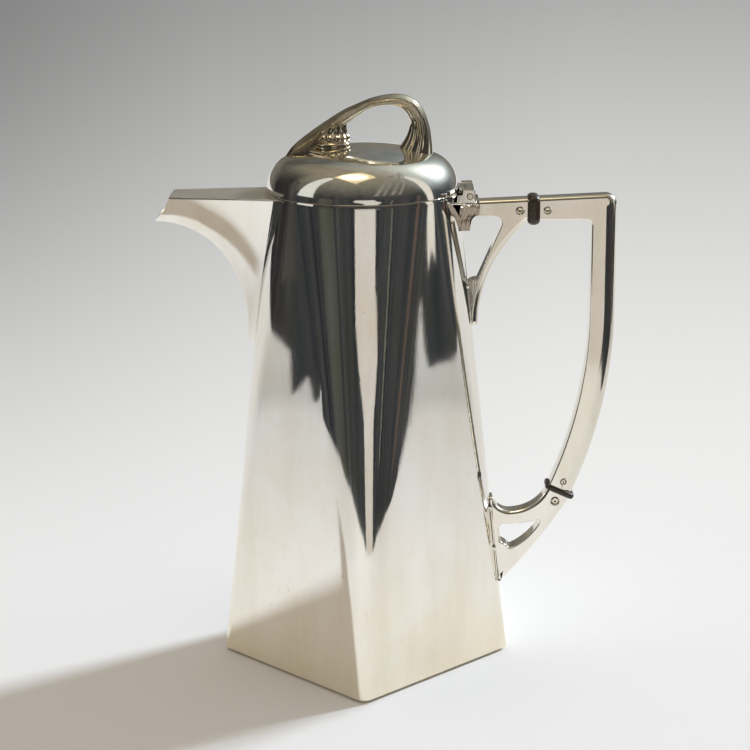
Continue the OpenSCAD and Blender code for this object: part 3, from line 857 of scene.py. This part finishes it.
UPPER_X = middle("upper_insulator").x
UPPER_Z = (ARM_BOTTOM + top_at(UPPER_X)) / 2 - JOINT_LOW
JOINT_R = GRIP_RADIUS - GRIP_WIDTH / 2
LOWER_JOINT = Vector(polar((GRIP_X, GRIP_BEND), JOINT_R, -LOWER_ANGLE))
LOWER_OUT = Vector(polar((0, 0), 1, -LOWER_ANGLE))
PINS = ("upper_socket_pin", "upper_grip_pin", "lower_socket_pin", "lower_grip_pin")


def pin_hole(node):
    centre = middle(node)
    return list(reversed(circle((centre.x, centre.z), PIN_HOLE_R)))


def narrowing(points, first, last):
    """Runs along the points whose edge radius changes from the first to the last."""
    return [([p], first + (last - first) * i / (len(points) - 1)) for i, p in enumerate(points)]


def make_grip():
    """Flat grip whose outer side is fully round."""
    start = UPPER_X + UPPER_DISC / 2 - 1
    inner_x = HANDLE_REACH - GRIP_WIDTH
    end = LOWER_ANGLE + degrees((-LOWER_DISC / 2 + 0.5) / JOINT_R)
    corner_x = HANDLE_REACH - CORNER_OUTER
    corner_z = top_at(corner_x) - CORNER_OUTER
    centre = (GRIP_X, GRIP_BEND)
    outer = joined(
        arc(centre, GRIP_RADIUS, -end, 0, 40), line((HANDLE_REACH, GRIP_BEND), (HANDLE_REACH, corner_z), 16)
    )
    corner = arc((corner_x, corner_z), CORNER_OUTER, 0, 90, 24)
    top = line((corner_x, top_at(corner_x)), (start, top_at(start)), 14)
    inner = joined(
        line((start, ARM_BOTTOM), (inner_x - 2, ARM_BOTTOM), 10),
        arc((inner_x - 2, ARM_BOTTOM - 2), 2, 90, 0, 8),
        line((inner_x, ARM_BOTTOM - 2), (inner_x, GRIP_BEND), 16),
        arc(centre, GRIP_RADIUS - GRIP_WIDTH, 0, -end, 40),
    )
    runs = [(outer, ROUND_SIDE), *narrowing(corner, ROUND_SIDE, TOP_EDGE), (top, TOP_EDGE), "end"]
    runs += [(inner, SOFT_EDGE), "end"]
    holes = [pin_hole("upper_grip_pin"), pin_hole("lower_grip_pin")]
    piece = plate("grip", runs, HANDLE_THICK, holes=holes, hole_radius=0.12)
    dress(piece, HANDLE, "handle_grip")


def make_upper_socket():
    """Arm under the hinge, its curved brace and the slot between them, which is open to the body's wall."""
    end = UPPER_X - UPPER_DISC / 2 + 1
    brace_x = edge_at(BRACE_FOOT) + 2
    arm_inner = LEDGE_Z - ARM_HEIGHT * 0.78
    sunk, hidden = 0.96, 0.34

    def inside(deep, *rises):
        return [(edge_at(BRACE_FOOT + rise) - deep, BRACE_FOOT + rise) for rise in rises]

    body_side = [(edge_at(LEDGE_Z) - sunk, LEDGE_Z)] + inside(sunk, *range(46, 13, -4), 7, 0)
    runs = [
        (bow((brace_x, BRACE_FOOT), (end - 1, ARM_BOTTOM - 1), 5.2, 28), 2.6),
        ([(end, ARM_BOTTOM - 1)], 2.6), "end",
        (line((end, top_at(end)), (LEDGE_END, LEDGE_Z), 8), TOP_EDGE),
        ([(LEDGE_END, LEDGE_Z), body_side[0]], 0.2),
        (body_side, 0.2),
    ]
    slot_foot = (edge_at(BRACE_FOOT + 18) - hidden, BRACE_FOOT + 17.8)
    slot = joined(
        [(edge_at(arm_inner) - hidden, arm_inner)],
        arc((MOUTH_R + 14.6, arm_inner - 3), 3, 90, -24, 8),
        bow((MOUTH_R + 7.6, BRACE_FOOT + 19.2), slot_foot, -0.4, 3),
        inside(hidden, *range(22, 43, 4)),
    )
    holes = [slot, pin_hole("upper_socket_pin")]
    piece = plate("arm_and_brace", runs, HANDLE_THICK, holes=holes, hole_radius=0.34)
    dress(piece, HANDLE, "upper_socket")


def crossing(points, z):
    """Place at which a falling line of (x, z) points passes a height."""
    for (x0, z0), (x1, z1) in zip(points, points[1:]):
        if z0 >= z >= z1:
            return x0 + (x1 - x0) * (z0 - z) / max(z0 - z1, 1e-6)
    return points[-1][0]


def make_corbel():
    """Fluted bracket that narrows from the hinge's ledge to the arm."""
    foot = LEDGE_Z - CORBEL_TALL
    steps, count = 24, 18
    reach = LEDGE_END + 1.6
    under = bow((reach, LEDGE_Z - 5), (MOUTH_R + 5, LEDGE_Z - 8.4), -0.8, 8)
    profile = [(reach, LEDGE_Z), *under, (MOUTH_R + 4.4, foot)]
    wide = bow((HINGE_WIDE / 2 - 0.3, LEDGE_Z), (HANDLE_THICK / 2 + 0.4, foot), -1.6, steps)
    rings = []
    for k in range(steps, -1, -1):
        z = LEDGE_Z - CORBEL_TALL * k / steps
        x0, x1 = MOUTH_R - 0.4 + 0.8 * (1 - k / steps), crossing(profile, z)
        half = wide[k][0]
        side, end = [], []
        for i in range(count + 1):
            share = i / count
            flute = 0.65 * min(1, k / 3, (steps - k) / 8) * sin(pi * 3 * share) ** 2
            side.append((x0 + (x1 - x0) * share, half - flute, z))
            if 0 < i < count:
                end.append((x1 - flute, half * (2 * share - 1), z))
        rings.append([(x, -y, z) for x, y, z in side] + end + list(reversed(side)))
    piece = loft("corbel", rings, caps=True)
    # The bracket takes the dark silver: painted shade and painted dark reflection under the hinge's ledge
    dress(piece, PAINTED_SHADE_HANDLE, sharp=50)


def make_hinge():
    """Ledge with two square cheeks, and the lid's knuckle between them."""
    top = LEDGE_Z + LEDGE_THICK
    flat = HINGE_Z + KNUCKLE_HALF
    x0, x1, y1 = MOUTH_R - 4, LEDGE_END + 0.3, HINGE_WIDE / 2 + 0.1
    outline = [(x0, -y1), (x1, -y1), (x1, y1), (x0, y1)]
    piece = plate(
        "hinge_ledge", [(outline, 0.3)], LEDGE_THICK, steps=4,
        place=lambda u, v, w: (u, v, LEDGE_Z + LEDGE_THICK / 2 + w),
    )
    dress(piece, HANDLE, "hinge_block")
    width = (HINGE_WIDE - KNUCKLE_WIDE) / 2 - 0.2
    cheek = joined(
        [(HINGE_X - 5.2, top - 0.4), (HINGE_X + 1.9, top - 0.4)],
        arc((HINGE_X + 1.1, flat - 0.7), 0.8, 0, 90, 5), arc((HINGE_X - 2.5, flat - 0.4), 0.4, 90, 180, 4),
        [(HINGE_X - 3.1, HINGE_Z + 0.4), (HINGE_X - 5.2, HINGE_Z + 0.3)],
    )
    bore = list(reversed(circle((HINGE_X, HINGE_Z), PIN_SLOT_R + 0.22)))
    for side, name in ((-1, "hinge_cheek_front"), (1, "hinge_cheek_back")):
        place = standing(side * (HINGE_WIDE / 2 - width / 2))
        piece = plate(name, [(cheek, 0.22)], width, holes=[bore], hole_radius=0.1, steps=4, place=place)
        dress(piece, HANDLE)
    half, soft = KNUCKLE_HALF, 1.6
    knuckle = joined(
        arc((HINGE_X, HINGE_Z), half, 180, 360, 24),
        arc((HINGE_X + half - soft, flat - soft), soft, 0, 90, 8),
        [(MOUTH_R + 0.1, flat), (MOUTH_R + 0.1, flat - LEAF_THICK), (HINGE_X - half, flat - LEAF_THICK)],
    )
    width = KNUCKLE_WIDE - 0.2
    piece = plate("lid_knuckle", [(knuckle, 0.25)], width, holes=[bore], hole_radius=0.1, steps=4)
    dress(piece, LID, "hinge_leaf")


def cross_bar(centre, stations, count):
    """Rings of a bar along Y, from (radius, y) stations."""
    return [[(x, y, z) for x, z in circle(centre, r, count)] for r, y in stations]


def make_hinge_pin():
    """Rod through the hinge, with a slotted head at each end."""
    centre, end = (HINGE_X, HINGE_Z), HINGE_WIDE / 2 - 0.3
    rings = cross_bar(centre, [(PIN_SLOT_R - 0.05, end), (PIN_SLOT_R - 0.05, -end)], 24)
    piece = loft("hinge_rod", rings, caps=True)
    dress(piece, PIN, "hinge_pin", sharp=40)
    turn = Matrix.Rotation(radians(25), 2)
    slit = [tuple(Vector(centre) + turn @ Vector(p)) for p in reversed(rounded(0.34, 1.5, 0.12))]
    for side, name in ((-1, "hinge_pin_head"), (1, "hinge_pin_tail")):
        piece = plate(
            name, [(circle(centre, PIN_SLOT_R), 0.15)], 0.5, holes=[slit], hole_radius=0.04, steps=3,
            place=standing(side * (HINGE_WIDE / 2 - 0.1)),
        )
        dress(piece, PIN)


def make_lower_socket():
    """Two prongs that meet at the grip, soldered to the body's corner."""
    inner_end = LOWER_JOINT - GRIP_WIDTH / 2 * LOWER_OUT
    outer_end = LOWER_JOINT + GRIP_WIDTH / 2 * LOWER_OUT
    dip = Vector((edge_at(SOCKET_FOOT + 32) + 8.6, SOCKET_FOOT + 31.9))
    tall = SOCKET_FOOT + 37.8
    sunk = 0.5

    def from_dip(x, z):
        return dip + Vector((x, z))

    lower = bow((edge_at(SOCKET_FOOT), SOCKET_FOOT), outer_end, -1.3, 20)
    upper = joined(bow(inner_end, dip, 2.6, 16), bow(dip, (edge_at(tall) + 0.6, tall), 2.2, 12))
    heights = (tall, SOCKET_FOOT + 26.5, SOCKET_FOOT + 13.5, SOCKET_FOOT)
    body_side = [(edge_at(z) - sunk, z) for z in heights]
    hole = joined(
        bow(from_dip(11.6, -4.6), from_dip(-0.6, -16.4), 1.3, 8),
        bow(from_dip(-1.4, -16.4), from_dip(-5.4, -13.6), -0.4, 4),
        [tuple(from_dip(-5.9, -7.4))],
        bow(from_dip(-4.3, -5.6), from_dip(11, -3.8), -0.6, 6),
    )
    runs = [(lower, 2.6), "end", (upper, 1.6), (body_side, 0.3)]
    holes = [hole, pin_hole("lower_socket_pin")]
    piece = plate("lower_prongs", runs, HANDLE_THICK, holes=holes, hole_radius=0.6)
    dress(piece, HANDLE, "lower_socket")


def wall_at(y, z):
    """Place at which the body's outer surface is reached from the axis."""
    return last_held(0.0, 90.0, lambda x: body_gap(x, y, z) < 0)


def make_solder_lines():
    """Thin beads of solder where the handle's sockets meet the body's corner."""
    lines = (
        ("lower", SOCKET_FOOT + 0.6, SOCKET_FOOT + 37.2, (15, 33)),
        ("upper", BRACE_FOOT + 0.8, BRACE_FOOT + 17.8, (16.2,)),
    )
    steps = 60
    for name, first, last, drops in lines:
        for side, end in ((-1, "front"), (1, "back")):
            y = side * (HANDLE_THICK / 2 + 0.05)
            rings = []
            for k in range(steps + 1):
                z = first + (last - first) * k / steps
                swell = sum(0.4 * exp(-(((z - first - drop) / 0.8) ** 2)) for drop in drops)
                radius = (0.26 + swell) * min(1, 0.3 + 3 * sin(pi * k / steps))
                rings.append([(*p, z) for p in circle((wall_at(y, z), y), radius, 12)])
            piece = loft(f"{name}_solder_{end}", rings, caps=True)
            dress(piece, HANDLE)


def make_pins():
    """Filed pin ends with a small dimple, in their holes."""
    radius, half, soft = PIN_R - 0.1, HANDLE_THICK / 2, 0.25
    edge = arc((radius - soft, half - soft), soft, 90, 0, 5)
    side = [(0.05, half - 0.35), (0.35, half - 0.12), (0.6, half)] + edge
    profile = side + [(r, -z) for r, z in reversed(side)]
    for node in PINS:
        centre = middle(node)
        rings = cross_bar((centre.x, centre.z), reversed(profile), 32)
        piece = loft(f"{node}_end", rings, caps=True)
        dress(piece, PIN, node, sharp=35)


def rounded(width, height, radius):
    """Outline of a rectangle with round corners, anticlockwise."""
    runs = []
    for sx, sy, a in ((1, -1, -90), (1, 1, 0), (-1, 1, 90), (-1, -1, 180)):
        runs.append(arc((sx * (width / 2 - radius), sy * (height / 2 - radius)), radius, a, a + 90, 8))
    return joined(*runs)


def make_insulators():
    """Horn discs with swollen edges across the handle."""
    height = top_at(UPPER_X) - ARM_BOTTOM + 2 * DISC_PROUD
    outline = rounded(HANDLE_THICK + 2 * DISC_PROUD, height, 3)
    piece = plate(
        "upper_horn_disc", [(outline, 2.3)], UPPER_DISC,
        place=lambda u, v, w: (UPPER_X + w, u, UPPER_Z + v),
    )
    dress(piece, HORN, "upper_insulator")
    outline = rounded(HANDLE_THICK + 2 * LOWER_PROUD, GRIP_WIDTH + 2 * LOWER_PROUD, 2)
    up = Vector((-LOWER_OUT.y, LOWER_OUT.x))

    def across(u, v, w):
        spot = LOWER_JOINT - LOWER_OUT * v + up * w
        return (spot.x, u, spot.y)

    piece = plate("lower_horn_disc", [(outline, 1.1)], LOWER_DISC, place=across)
    dress(piece, HORN, "lower_insulator")


make_body_shell()
make_base_plate()
make_rim()
make_dome()
make_lid_bead()
make_spout()
make_spout_cover()
make_grip()
make_upper_socket()
make_lower_socket()
make_solder_lines()
make_pins()
make_insulators()
make_corbel()
make_hinge()
make_hinge_pin()
make_knob()
for name in ("knob_screws", "knob_nuts"):
    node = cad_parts[name]
    node.data.materials.clear()
    node.data.materials.append(knob_silver)


# ------------------------ studio

# The camera as fitted to the photo: place, then yaw, pitch and roll in degrees, then its lens
CAMERA_PLACE = (13.6, -848.3, 340.2)
CAMERA_TURN = (-0.612, 14.431, -0.348)
FOCAL_PIXELS = 2096.6
PHOTO_PIXELS = 750
TABLE_TONE = 0.88
# Share of the tone that is left at a distance to the side, in metres
TABLE_FALL = (
    (0.1, 1.0), (0.2, 0.93), (0.3, 0.84), (0.4, 0.78), (0.5, 0.72), (0.56, 0.56), (0.7, 0.62), (0.9, 0.75),
)
CARD_CENTRE_Z = 130
# Directions to the key light and to its haze in the room
KEY_SIDE = (0.70, 0.45, 0.53)
HAZE_SIDE = (0.66, 0.52, 0.545)
RUNNER_TONES = ((0.67, 0.63, 0.58), (0.63, 0.59, 0.54))
FILL = 0.575
# Falloff of the backdrop at the left edge and right of the middle: its far tone and its close tone, and
# the slopes of view down to the floor, as height over distance, at which they are reached
FLOOR_LEFT = (0.22, 0.82, 0.04, 0.39)
FLOOR_RIGHT = (0.056, 0.837, -0.154, 0.33)
# Slopes between which the photo shows the floor, which keeps its tone beyond them
FLOOR_SEEN = (0.077, 0.36)
# Outlines on the floor of the bright table and of the runner before it, which the silver mirrors
TABLE_EDGE = [
    (-202, -737), (-7, -676), (78, -571), (209, -444), (289, -400), (342, -252), (346, -120),
    (366, -80), (500, -73), (620, -76), (951, -112), (818, -78), (699, -55), (637, -37), (649, -11),
    (663, 27), (758, 111), (1300, 700), (1300, 6000), (-3000, 6000), (-1700, 1300), (-1079, 627),
    (-880, 258), (-759, 81), (-687, 4), (-547, -7), (-573, -24), (-624, -53), (-545, -57),
    (-661, -165), (-529, -102), (-552, -292), (-538, -488), (-490, -526), (-377, -712),
]
RUNNER_EDGE = [
    (78, -571), (57, -1915), (-69, -2321), (-460, -3468), (-1374, -7746), (-1700, -9400), (2900, -9400),
    (1815, -4880), (1010, -2349), (666, -1744), (531, -1535), (209, -444),
]


def flat_outline(name, outline, z):
    points = [(x, y, z) for x, y in outline]
    return add_mesh(name, points, [tuple(range(len(points)))])


def paper():
    """Paper that greys with the distance, sooner on the left, as the light falls off on the backdrop."""
    material, surface = shader("floor_paper", Roughness=0.9, Specular_IOR_Level=0.0)
    x, y, _ = split(material, position(material))
    ahead = calc(material, "MAXIMUM", calc(material, "ADD", y, -CAMERA_PLACE[1] * MM), 0.05)
    slope = calc(material, "DIVIDE", CAMERA_PLACE[2] * MM, ahead)
    slope = calc(material, "MINIMUM", calc(material, "MAXIMUM", slope, FLOOR_SEEN[0]), FLOOR_SEEN[1])
    side = between(material, calc(material, "DIVIDE", x, ahead), -0.18, 0.09)
    shades = []
    for far, close, first, last in (FLOOR_LEFT, FLOOR_RIGHT):
        share = between(material, slope, first, last, interpolation_type="SMOOTHSTEP")
        shades.append(blend(material, share, (far, far, far), (close, close, close)))
    to_right = ramp(material, side, [(0.0, 0.0), (0.36, 0.5), (1.0, 1.0)])
    link(material, blend(material, to_right, *shades), surface.inputs["Base Color"])
    return material


def bright_paper():
    """Paper of the table, whose light falls off to the sides and changes behind the pot."""
    material, surface = shader("table_paper", Roughness=0.9, Specular_IOR_Level=0.0)
    x, y, _ = split(material, position(material))
    falls = ramp(material, calc(material, "ABSOLUTE", x), [
        (place, tuple(TABLE_TONE * share * g for g in (1, 0.99, 0.97))) for place, share in TABLE_FALL
    ])
    behind = between(material, y, 0.08, 0.45, interpolation_type="SMOOTHSTEP")
    link(material, blend(material, behind, falls, (0.73, 0.725, 0.71)), surface.inputs["Base Color"])
    return material


def make_floor():
    """Pale floor. Mirrors see only the part of it that is the table, and a dark room beyond."""
    reach = 40000
    ground = flat_outline("floor", [(-reach, -reach), (reach, -reach), (reach, reach), (-reach, reach)], 0)
    ground.data.materials.append(paper())
    ground.visible_glossy = False
    for name, outline, material in (
        ("table", TABLE_EDGE, bright_paper()), ("runner", RUNNER_EDGE, glow("runner", RUNNER_TONES, 1.0))
    ):
        piece = flat_outline(name, outline, 0.02)
        piece.data.materials.append(material)
        only_mirrored(piece)


def emitter(name, strength):
    """A material that only glows, and its emission shader."""
    material = bpy.data.materials.new(name)
    material.use_nodes = True
    material.node_tree.nodes.clear()
    light = add_node(material, "Emission", Strength=strength)
    out = add_node(material, "OutputMaterial")
    link(material, light.outputs[0], out.inputs["Surface"])
    return material, light


def glow(name, tones, strength):
    """Emission whose colour runs between two tones in soft clouds."""
    material, light = emitter(name, strength)
    clouds = cloudy(material, position(material), Scale=1.6, Detail=3.0)
    link(material, ramp(material, clouds, [(0.35, tones[0]), (0.65, tones[1])]), light.inputs["Color"])
    return material


def only_mirrored(piece):
    """Staging that neither the camera nor rough surfaces see."""
    piece.visible_camera = False
    piece.visible_diffuse = False
    piece.visible_shadow = False


def card(name, corners, tones, strength, distance=3000):
    """A glowing card for mirrors. Corners are (azimuth from the camera's side, elevation) in degrees."""
    points = []
    for azimuth, elevation in corners:
        a, e = radians(azimuth), radians(elevation)
        out = distance * cos(e)
        points.append((out * sin(a), -out * cos(a), CARD_CENTRE_Z + distance * sin(e)))
    centre = sum((Vector(p) for p in points), Vector()) / len(points)
    fan = [(k, (k + 1) % len(points), len(points)) for k in range(len(points))]
    piece = add_mesh(name, points + [tuple(centre)], fan)
    piece.data.materials.append(glow(name, tones, strength))
    only_mirrored(piece)


def make_cards():
    """What the silver mirrors of the room: a door, two windows, walls, posts and the roof's beams."""
    door = [(-8, 3), (-9, 1), (-10.5, -1.6), (17.6, -1.6), (16, 1), (14.5, 3)]
    card("white_door", door, RUNNER_TONES, 1.0, 9400)
    window = [(-83, 4), (-60, 4), (-59, 32), (-54, 57), (-60, 61), (-67, 60), (-75, 37), (-81, 11)]
    card("left_window", window, ((0.95, 0.95, 0.9), (0.86, 0.88, 0.82)), 0.78)
    window = [
        (84, -6.2), (87.4, -8.6), (89, -8), (91.6, -8.4), (93.4, -5.9), (91, 6), (90, 20), (87, 46),
        (83, 56), (75, 57), (77, 20), (82, 0),
    ]
    card("right_window", window, ((1.0, 0.97, 0.88), (0.9, 0.86, 0.76)), 0.8)
    wall = [(-56, -9), (-36, -9), (-34, 4), (-50, 5)]
    card("left_wall", wall, ((0.9, 0.95, 0.8), (0.6, 0.62, 0.52)), 0.1)
    post = [(-97, -9), (-89, -9), (-88, 30), (-95, 30)]
    card("left_post", post, ((0.9, 0.8, 0.74), (0.6, 0.55, 0.5)), 0.09)
    post = [(66, -12), (71, -12), (73, 6), (69, 6)]
    card("right_post", post, ((1.0, 0.72, 0.6), (0.8, 0.6, 0.5)), 0.12)
    pole = [(33, -7), (34.6, -7), (36.6, 1), (35.4, 1)]
    card("right_pole", pole, ((0.9, 0.9, 0.7), (0.6, 0.6, 0.5)), 0.3)
    wood = ((0.9, 0.86, 0.74), (0.7, 0.66, 0.56))
    for k, (foot, top, width, strength) in enumerate(
        ((14, 60, 5, 0.3), (24, 72, 3, 0.34), (34, 96, 4, 0.3), (44, 112, 3, 0.36))
    ):
        corners = [(foot, 14), (foot + width, 14), (top + 3 * width, 66), (top, 66)]
        card(f"beam_{k}", corners, wood, strength)


def make_ceiling_lamp():
    """Warm four-cornered lamp shade on the ceiling with its bulb near the middle."""
    height = 2200
    corners = [(-0.41, -0.23), (-0.14, -0.81), (0.2, -0.28), (-0.03, 0.07)]
    bulb = (-0.124, -0.28)
    piece = add_mesh("ceiling_lamp", [(height * x, height * y, height) for x, y in corners], [(0, 1, 2, 3)])
    material, light = emitter("ceiling_lamp", 1.0)
    away = add_node(material, "VectorMath", operation="DISTANCE")
    link(material, position(material), away.inputs[0])
    away.inputs[1].default_value = Vector((bulb[0] * height, bulb[1] * height, height)) * MM
    warmth = ramp(material, between(material, away.outputs["Value"], 0.0, 1.1), [
        (0.0, (6.0, 5.6, 4.6)), (0.2, (3.2, 2.8, 2.0)), (0.45, (1.0, 0.82, 0.5)), (1.0, (0.62, 0.5, 0.3)),
    ])
    link(material, warmth, light.inputs["Color"])
    piece.data.materials.append(material)
    only_mirrored(piece)


def make_key_light():
    """Key light from behind on the right."""
    sun = bpy.data.lights.new("key", "SUN")
    sun.energy = 3.3
    sun.angle = radians(7)
    sun.color = (0.79, 0.885, 1.0)
    lamp = bpy.data.objects.new("key", sun)
    lamp.rotation_euler = Vector(KEY_SIDE).to_track_quat("Z", "Y").to_euler()
    bpy.context.scene.collection.objects.link(lamp)


def background(world, colour, strength=1.0):
    node = add_node(world, "Background", Strength=strength)
    feed(world, colour, node.inputs["Color"])
    return node.outputs[0]


def for_rays(world, kind, others, shown):
    """Shows one background to one kind of ray, and another to all the others."""
    mix = add_node(world, "MixShader")
    link(world, add_node(world, "LightPath").outputs[kind], mix.inputs["Fac"])
    link(world, others, mix.inputs[1])
    link(world, shown, mix.inputs[2])
    return mix.outputs[0]


def make_world():
    """Even fill for rough surfaces, a dim room for mirrors and grey paper behind the floor's far end."""
    world = bpy.data.worlds.new("studio")
    bpy.context.scene.world = world
    world.use_nodes = True
    world.node_tree.nodes.clear()
    fill = background(world, (1.0, 0.903, 0.772), FILL)
    room = background(world, room_colour(world))
    far_paper = background(world, (0.205, 0.203, 0.198))
    lit = for_rays(world, "Is Camera Ray", for_rays(world, "Is Glossy Ray", fill, room), far_paper)
    link(world, lit, add_node(world, "OutputWorld").inputs["Surface"])


def room_colour(world):
    """Dim room: dark sides, a grey backdrop behind the pot, a lighter ceiling and the key light's haze."""
    place = add_node(world, "TexCoord").outputs["Generated"]
    x, y, z = split(world, place)
    front = ramp(world, z, [
        (0.0, (0.042, 0.045, 0.047)), (0.1, (0.045, 0.046, 0.045)), (0.3, (0.095, 0.092, 0.078)),
        (0.6, (0.18, 0.168, 0.135)), (0.8, (0.24, 0.22, 0.165)), (1.0, (0.3, 0.27, 0.2)),
    ])
    left = ramp(world, z, [
        (0.0, (0.026, 0.025, 0.026)), (0.1, (0.026, 0.024, 0.023)), (0.6, (0.045, 0.042, 0.036)),
        (0.8, (0.11, 0.105, 0.09)),
    ])
    back = ramp(world, z, [
        (0.0, (0.2, 0.19, 0.165)), (0.22, (0.17, 0.16, 0.13)), (0.4, (0.1, 0.09, 0.075)),
        (0.48, (0.1, 0.095, 0.08)), (0.54, (0.07, 0.065, 0.055)), (0.62, (0.16, 0.155, 0.135)),
        (0.8, (0.22, 0.21, 0.175)), (0.95, (0.36, 0.33, 0.25)),
    ])
    leftward = ramp(world, calc(world, "ADD", x, 1.0), [(0.15, 1.0), (0.5, 0.0)])
    on_left = calc(world, "MULTIPLY", leftward, ramp(world, y, [(0.0, 0.0), (0.2, 1.0)]))
    colour = blend(world, on_left, front, left)
    colour = blend(world, ramp(world, y, [(0.6, 0.0), (0.85, 1.0)]), colour, back)
    upward = stretched(world, place, (1.0, 1.0, 0.12))
    streaks = cloudy(world, upward, Scale=13.0, Detail=5.0, Roughness=0.65)
    shade = ramp(world, streaks, [
        (0.34, (0.35, 0.38, 0.45)), (0.5, (0.95, 0.98, 1.0)), (0.58, (1.05, 0.95, 0.9)),
        (0.7, (2.2, 2.15, 1.9)),
    ])
    near_floor = ramp(world, z, [(0.0, 1.0), (0.25, 0.5), (0.7, 0.25)])
    colour = blend(world, near_floor, colour, blend(world, 1.0, colour, shade, "MULTIPLY"))
    turn = add_node(world, "VectorMath", operation="DOT_PRODUCT")
    link(world, place, turn.inputs[0])
    turn.inputs[1].default_value = Vector(HAZE_SIDE).normalized()
    haze = ramp(world, turn.outputs["Value"], [
        (0.55, 0.0), (0.75, (0.1, 0.12, 0.13)), (0.9, (0.36, 0.42, 0.43)), (0.965, (0.9, 0.98, 1.0)),
        (0.985, (4.0, 4.1, 4.0)),
    ])
    above = ramp(world, z, [(0.0, 0.12), (0.12, 0.3), (0.35, 1.0)])
    return blend(world, 1.0, colour, blend(world, 1.0, haze, above, "MULTIPLY"), "ADD")


def make_camera():
    """Camera at the fitted place, turned by the fitted angles."""
    yaw, pitch, roll = (radians(a) for a in CAMERA_TURN)
    ahead = Vector((sin(yaw) * cos(pitch), cos(yaw) * cos(pitch), -sin(pitch)))
    right = Vector((cos(yaw), -sin(yaw), 0))
    up = right.cross(ahead)
    right, up = right * cos(roll) + up * sin(roll), up * cos(roll) - right * sin(roll)
    data = bpy.data.cameras.new("camera")
    data.sensor_width = 36
    data.lens = data.sensor_width * (FOCAL_PIXELS / PHOTO_PIXELS)
    data.clip_end = 200
    camera = bpy.data.objects.new("camera", data)
    turn = Matrix((right, up, -ahead)).transposed()
    camera.matrix_world = Matrix.Translation(Vector(CAMERA_PLACE) * MM) @ turn.to_4x4()
    bpy.context.scene.collection.objects.link(camera)
    bpy.context.scene.camera = camera


make_floor()
make_cards()
make_ceiling_lamp()
make_key_light()
make_world()
make_camera()
bpy.context.scene.view_settings.view_transform = "Standard"
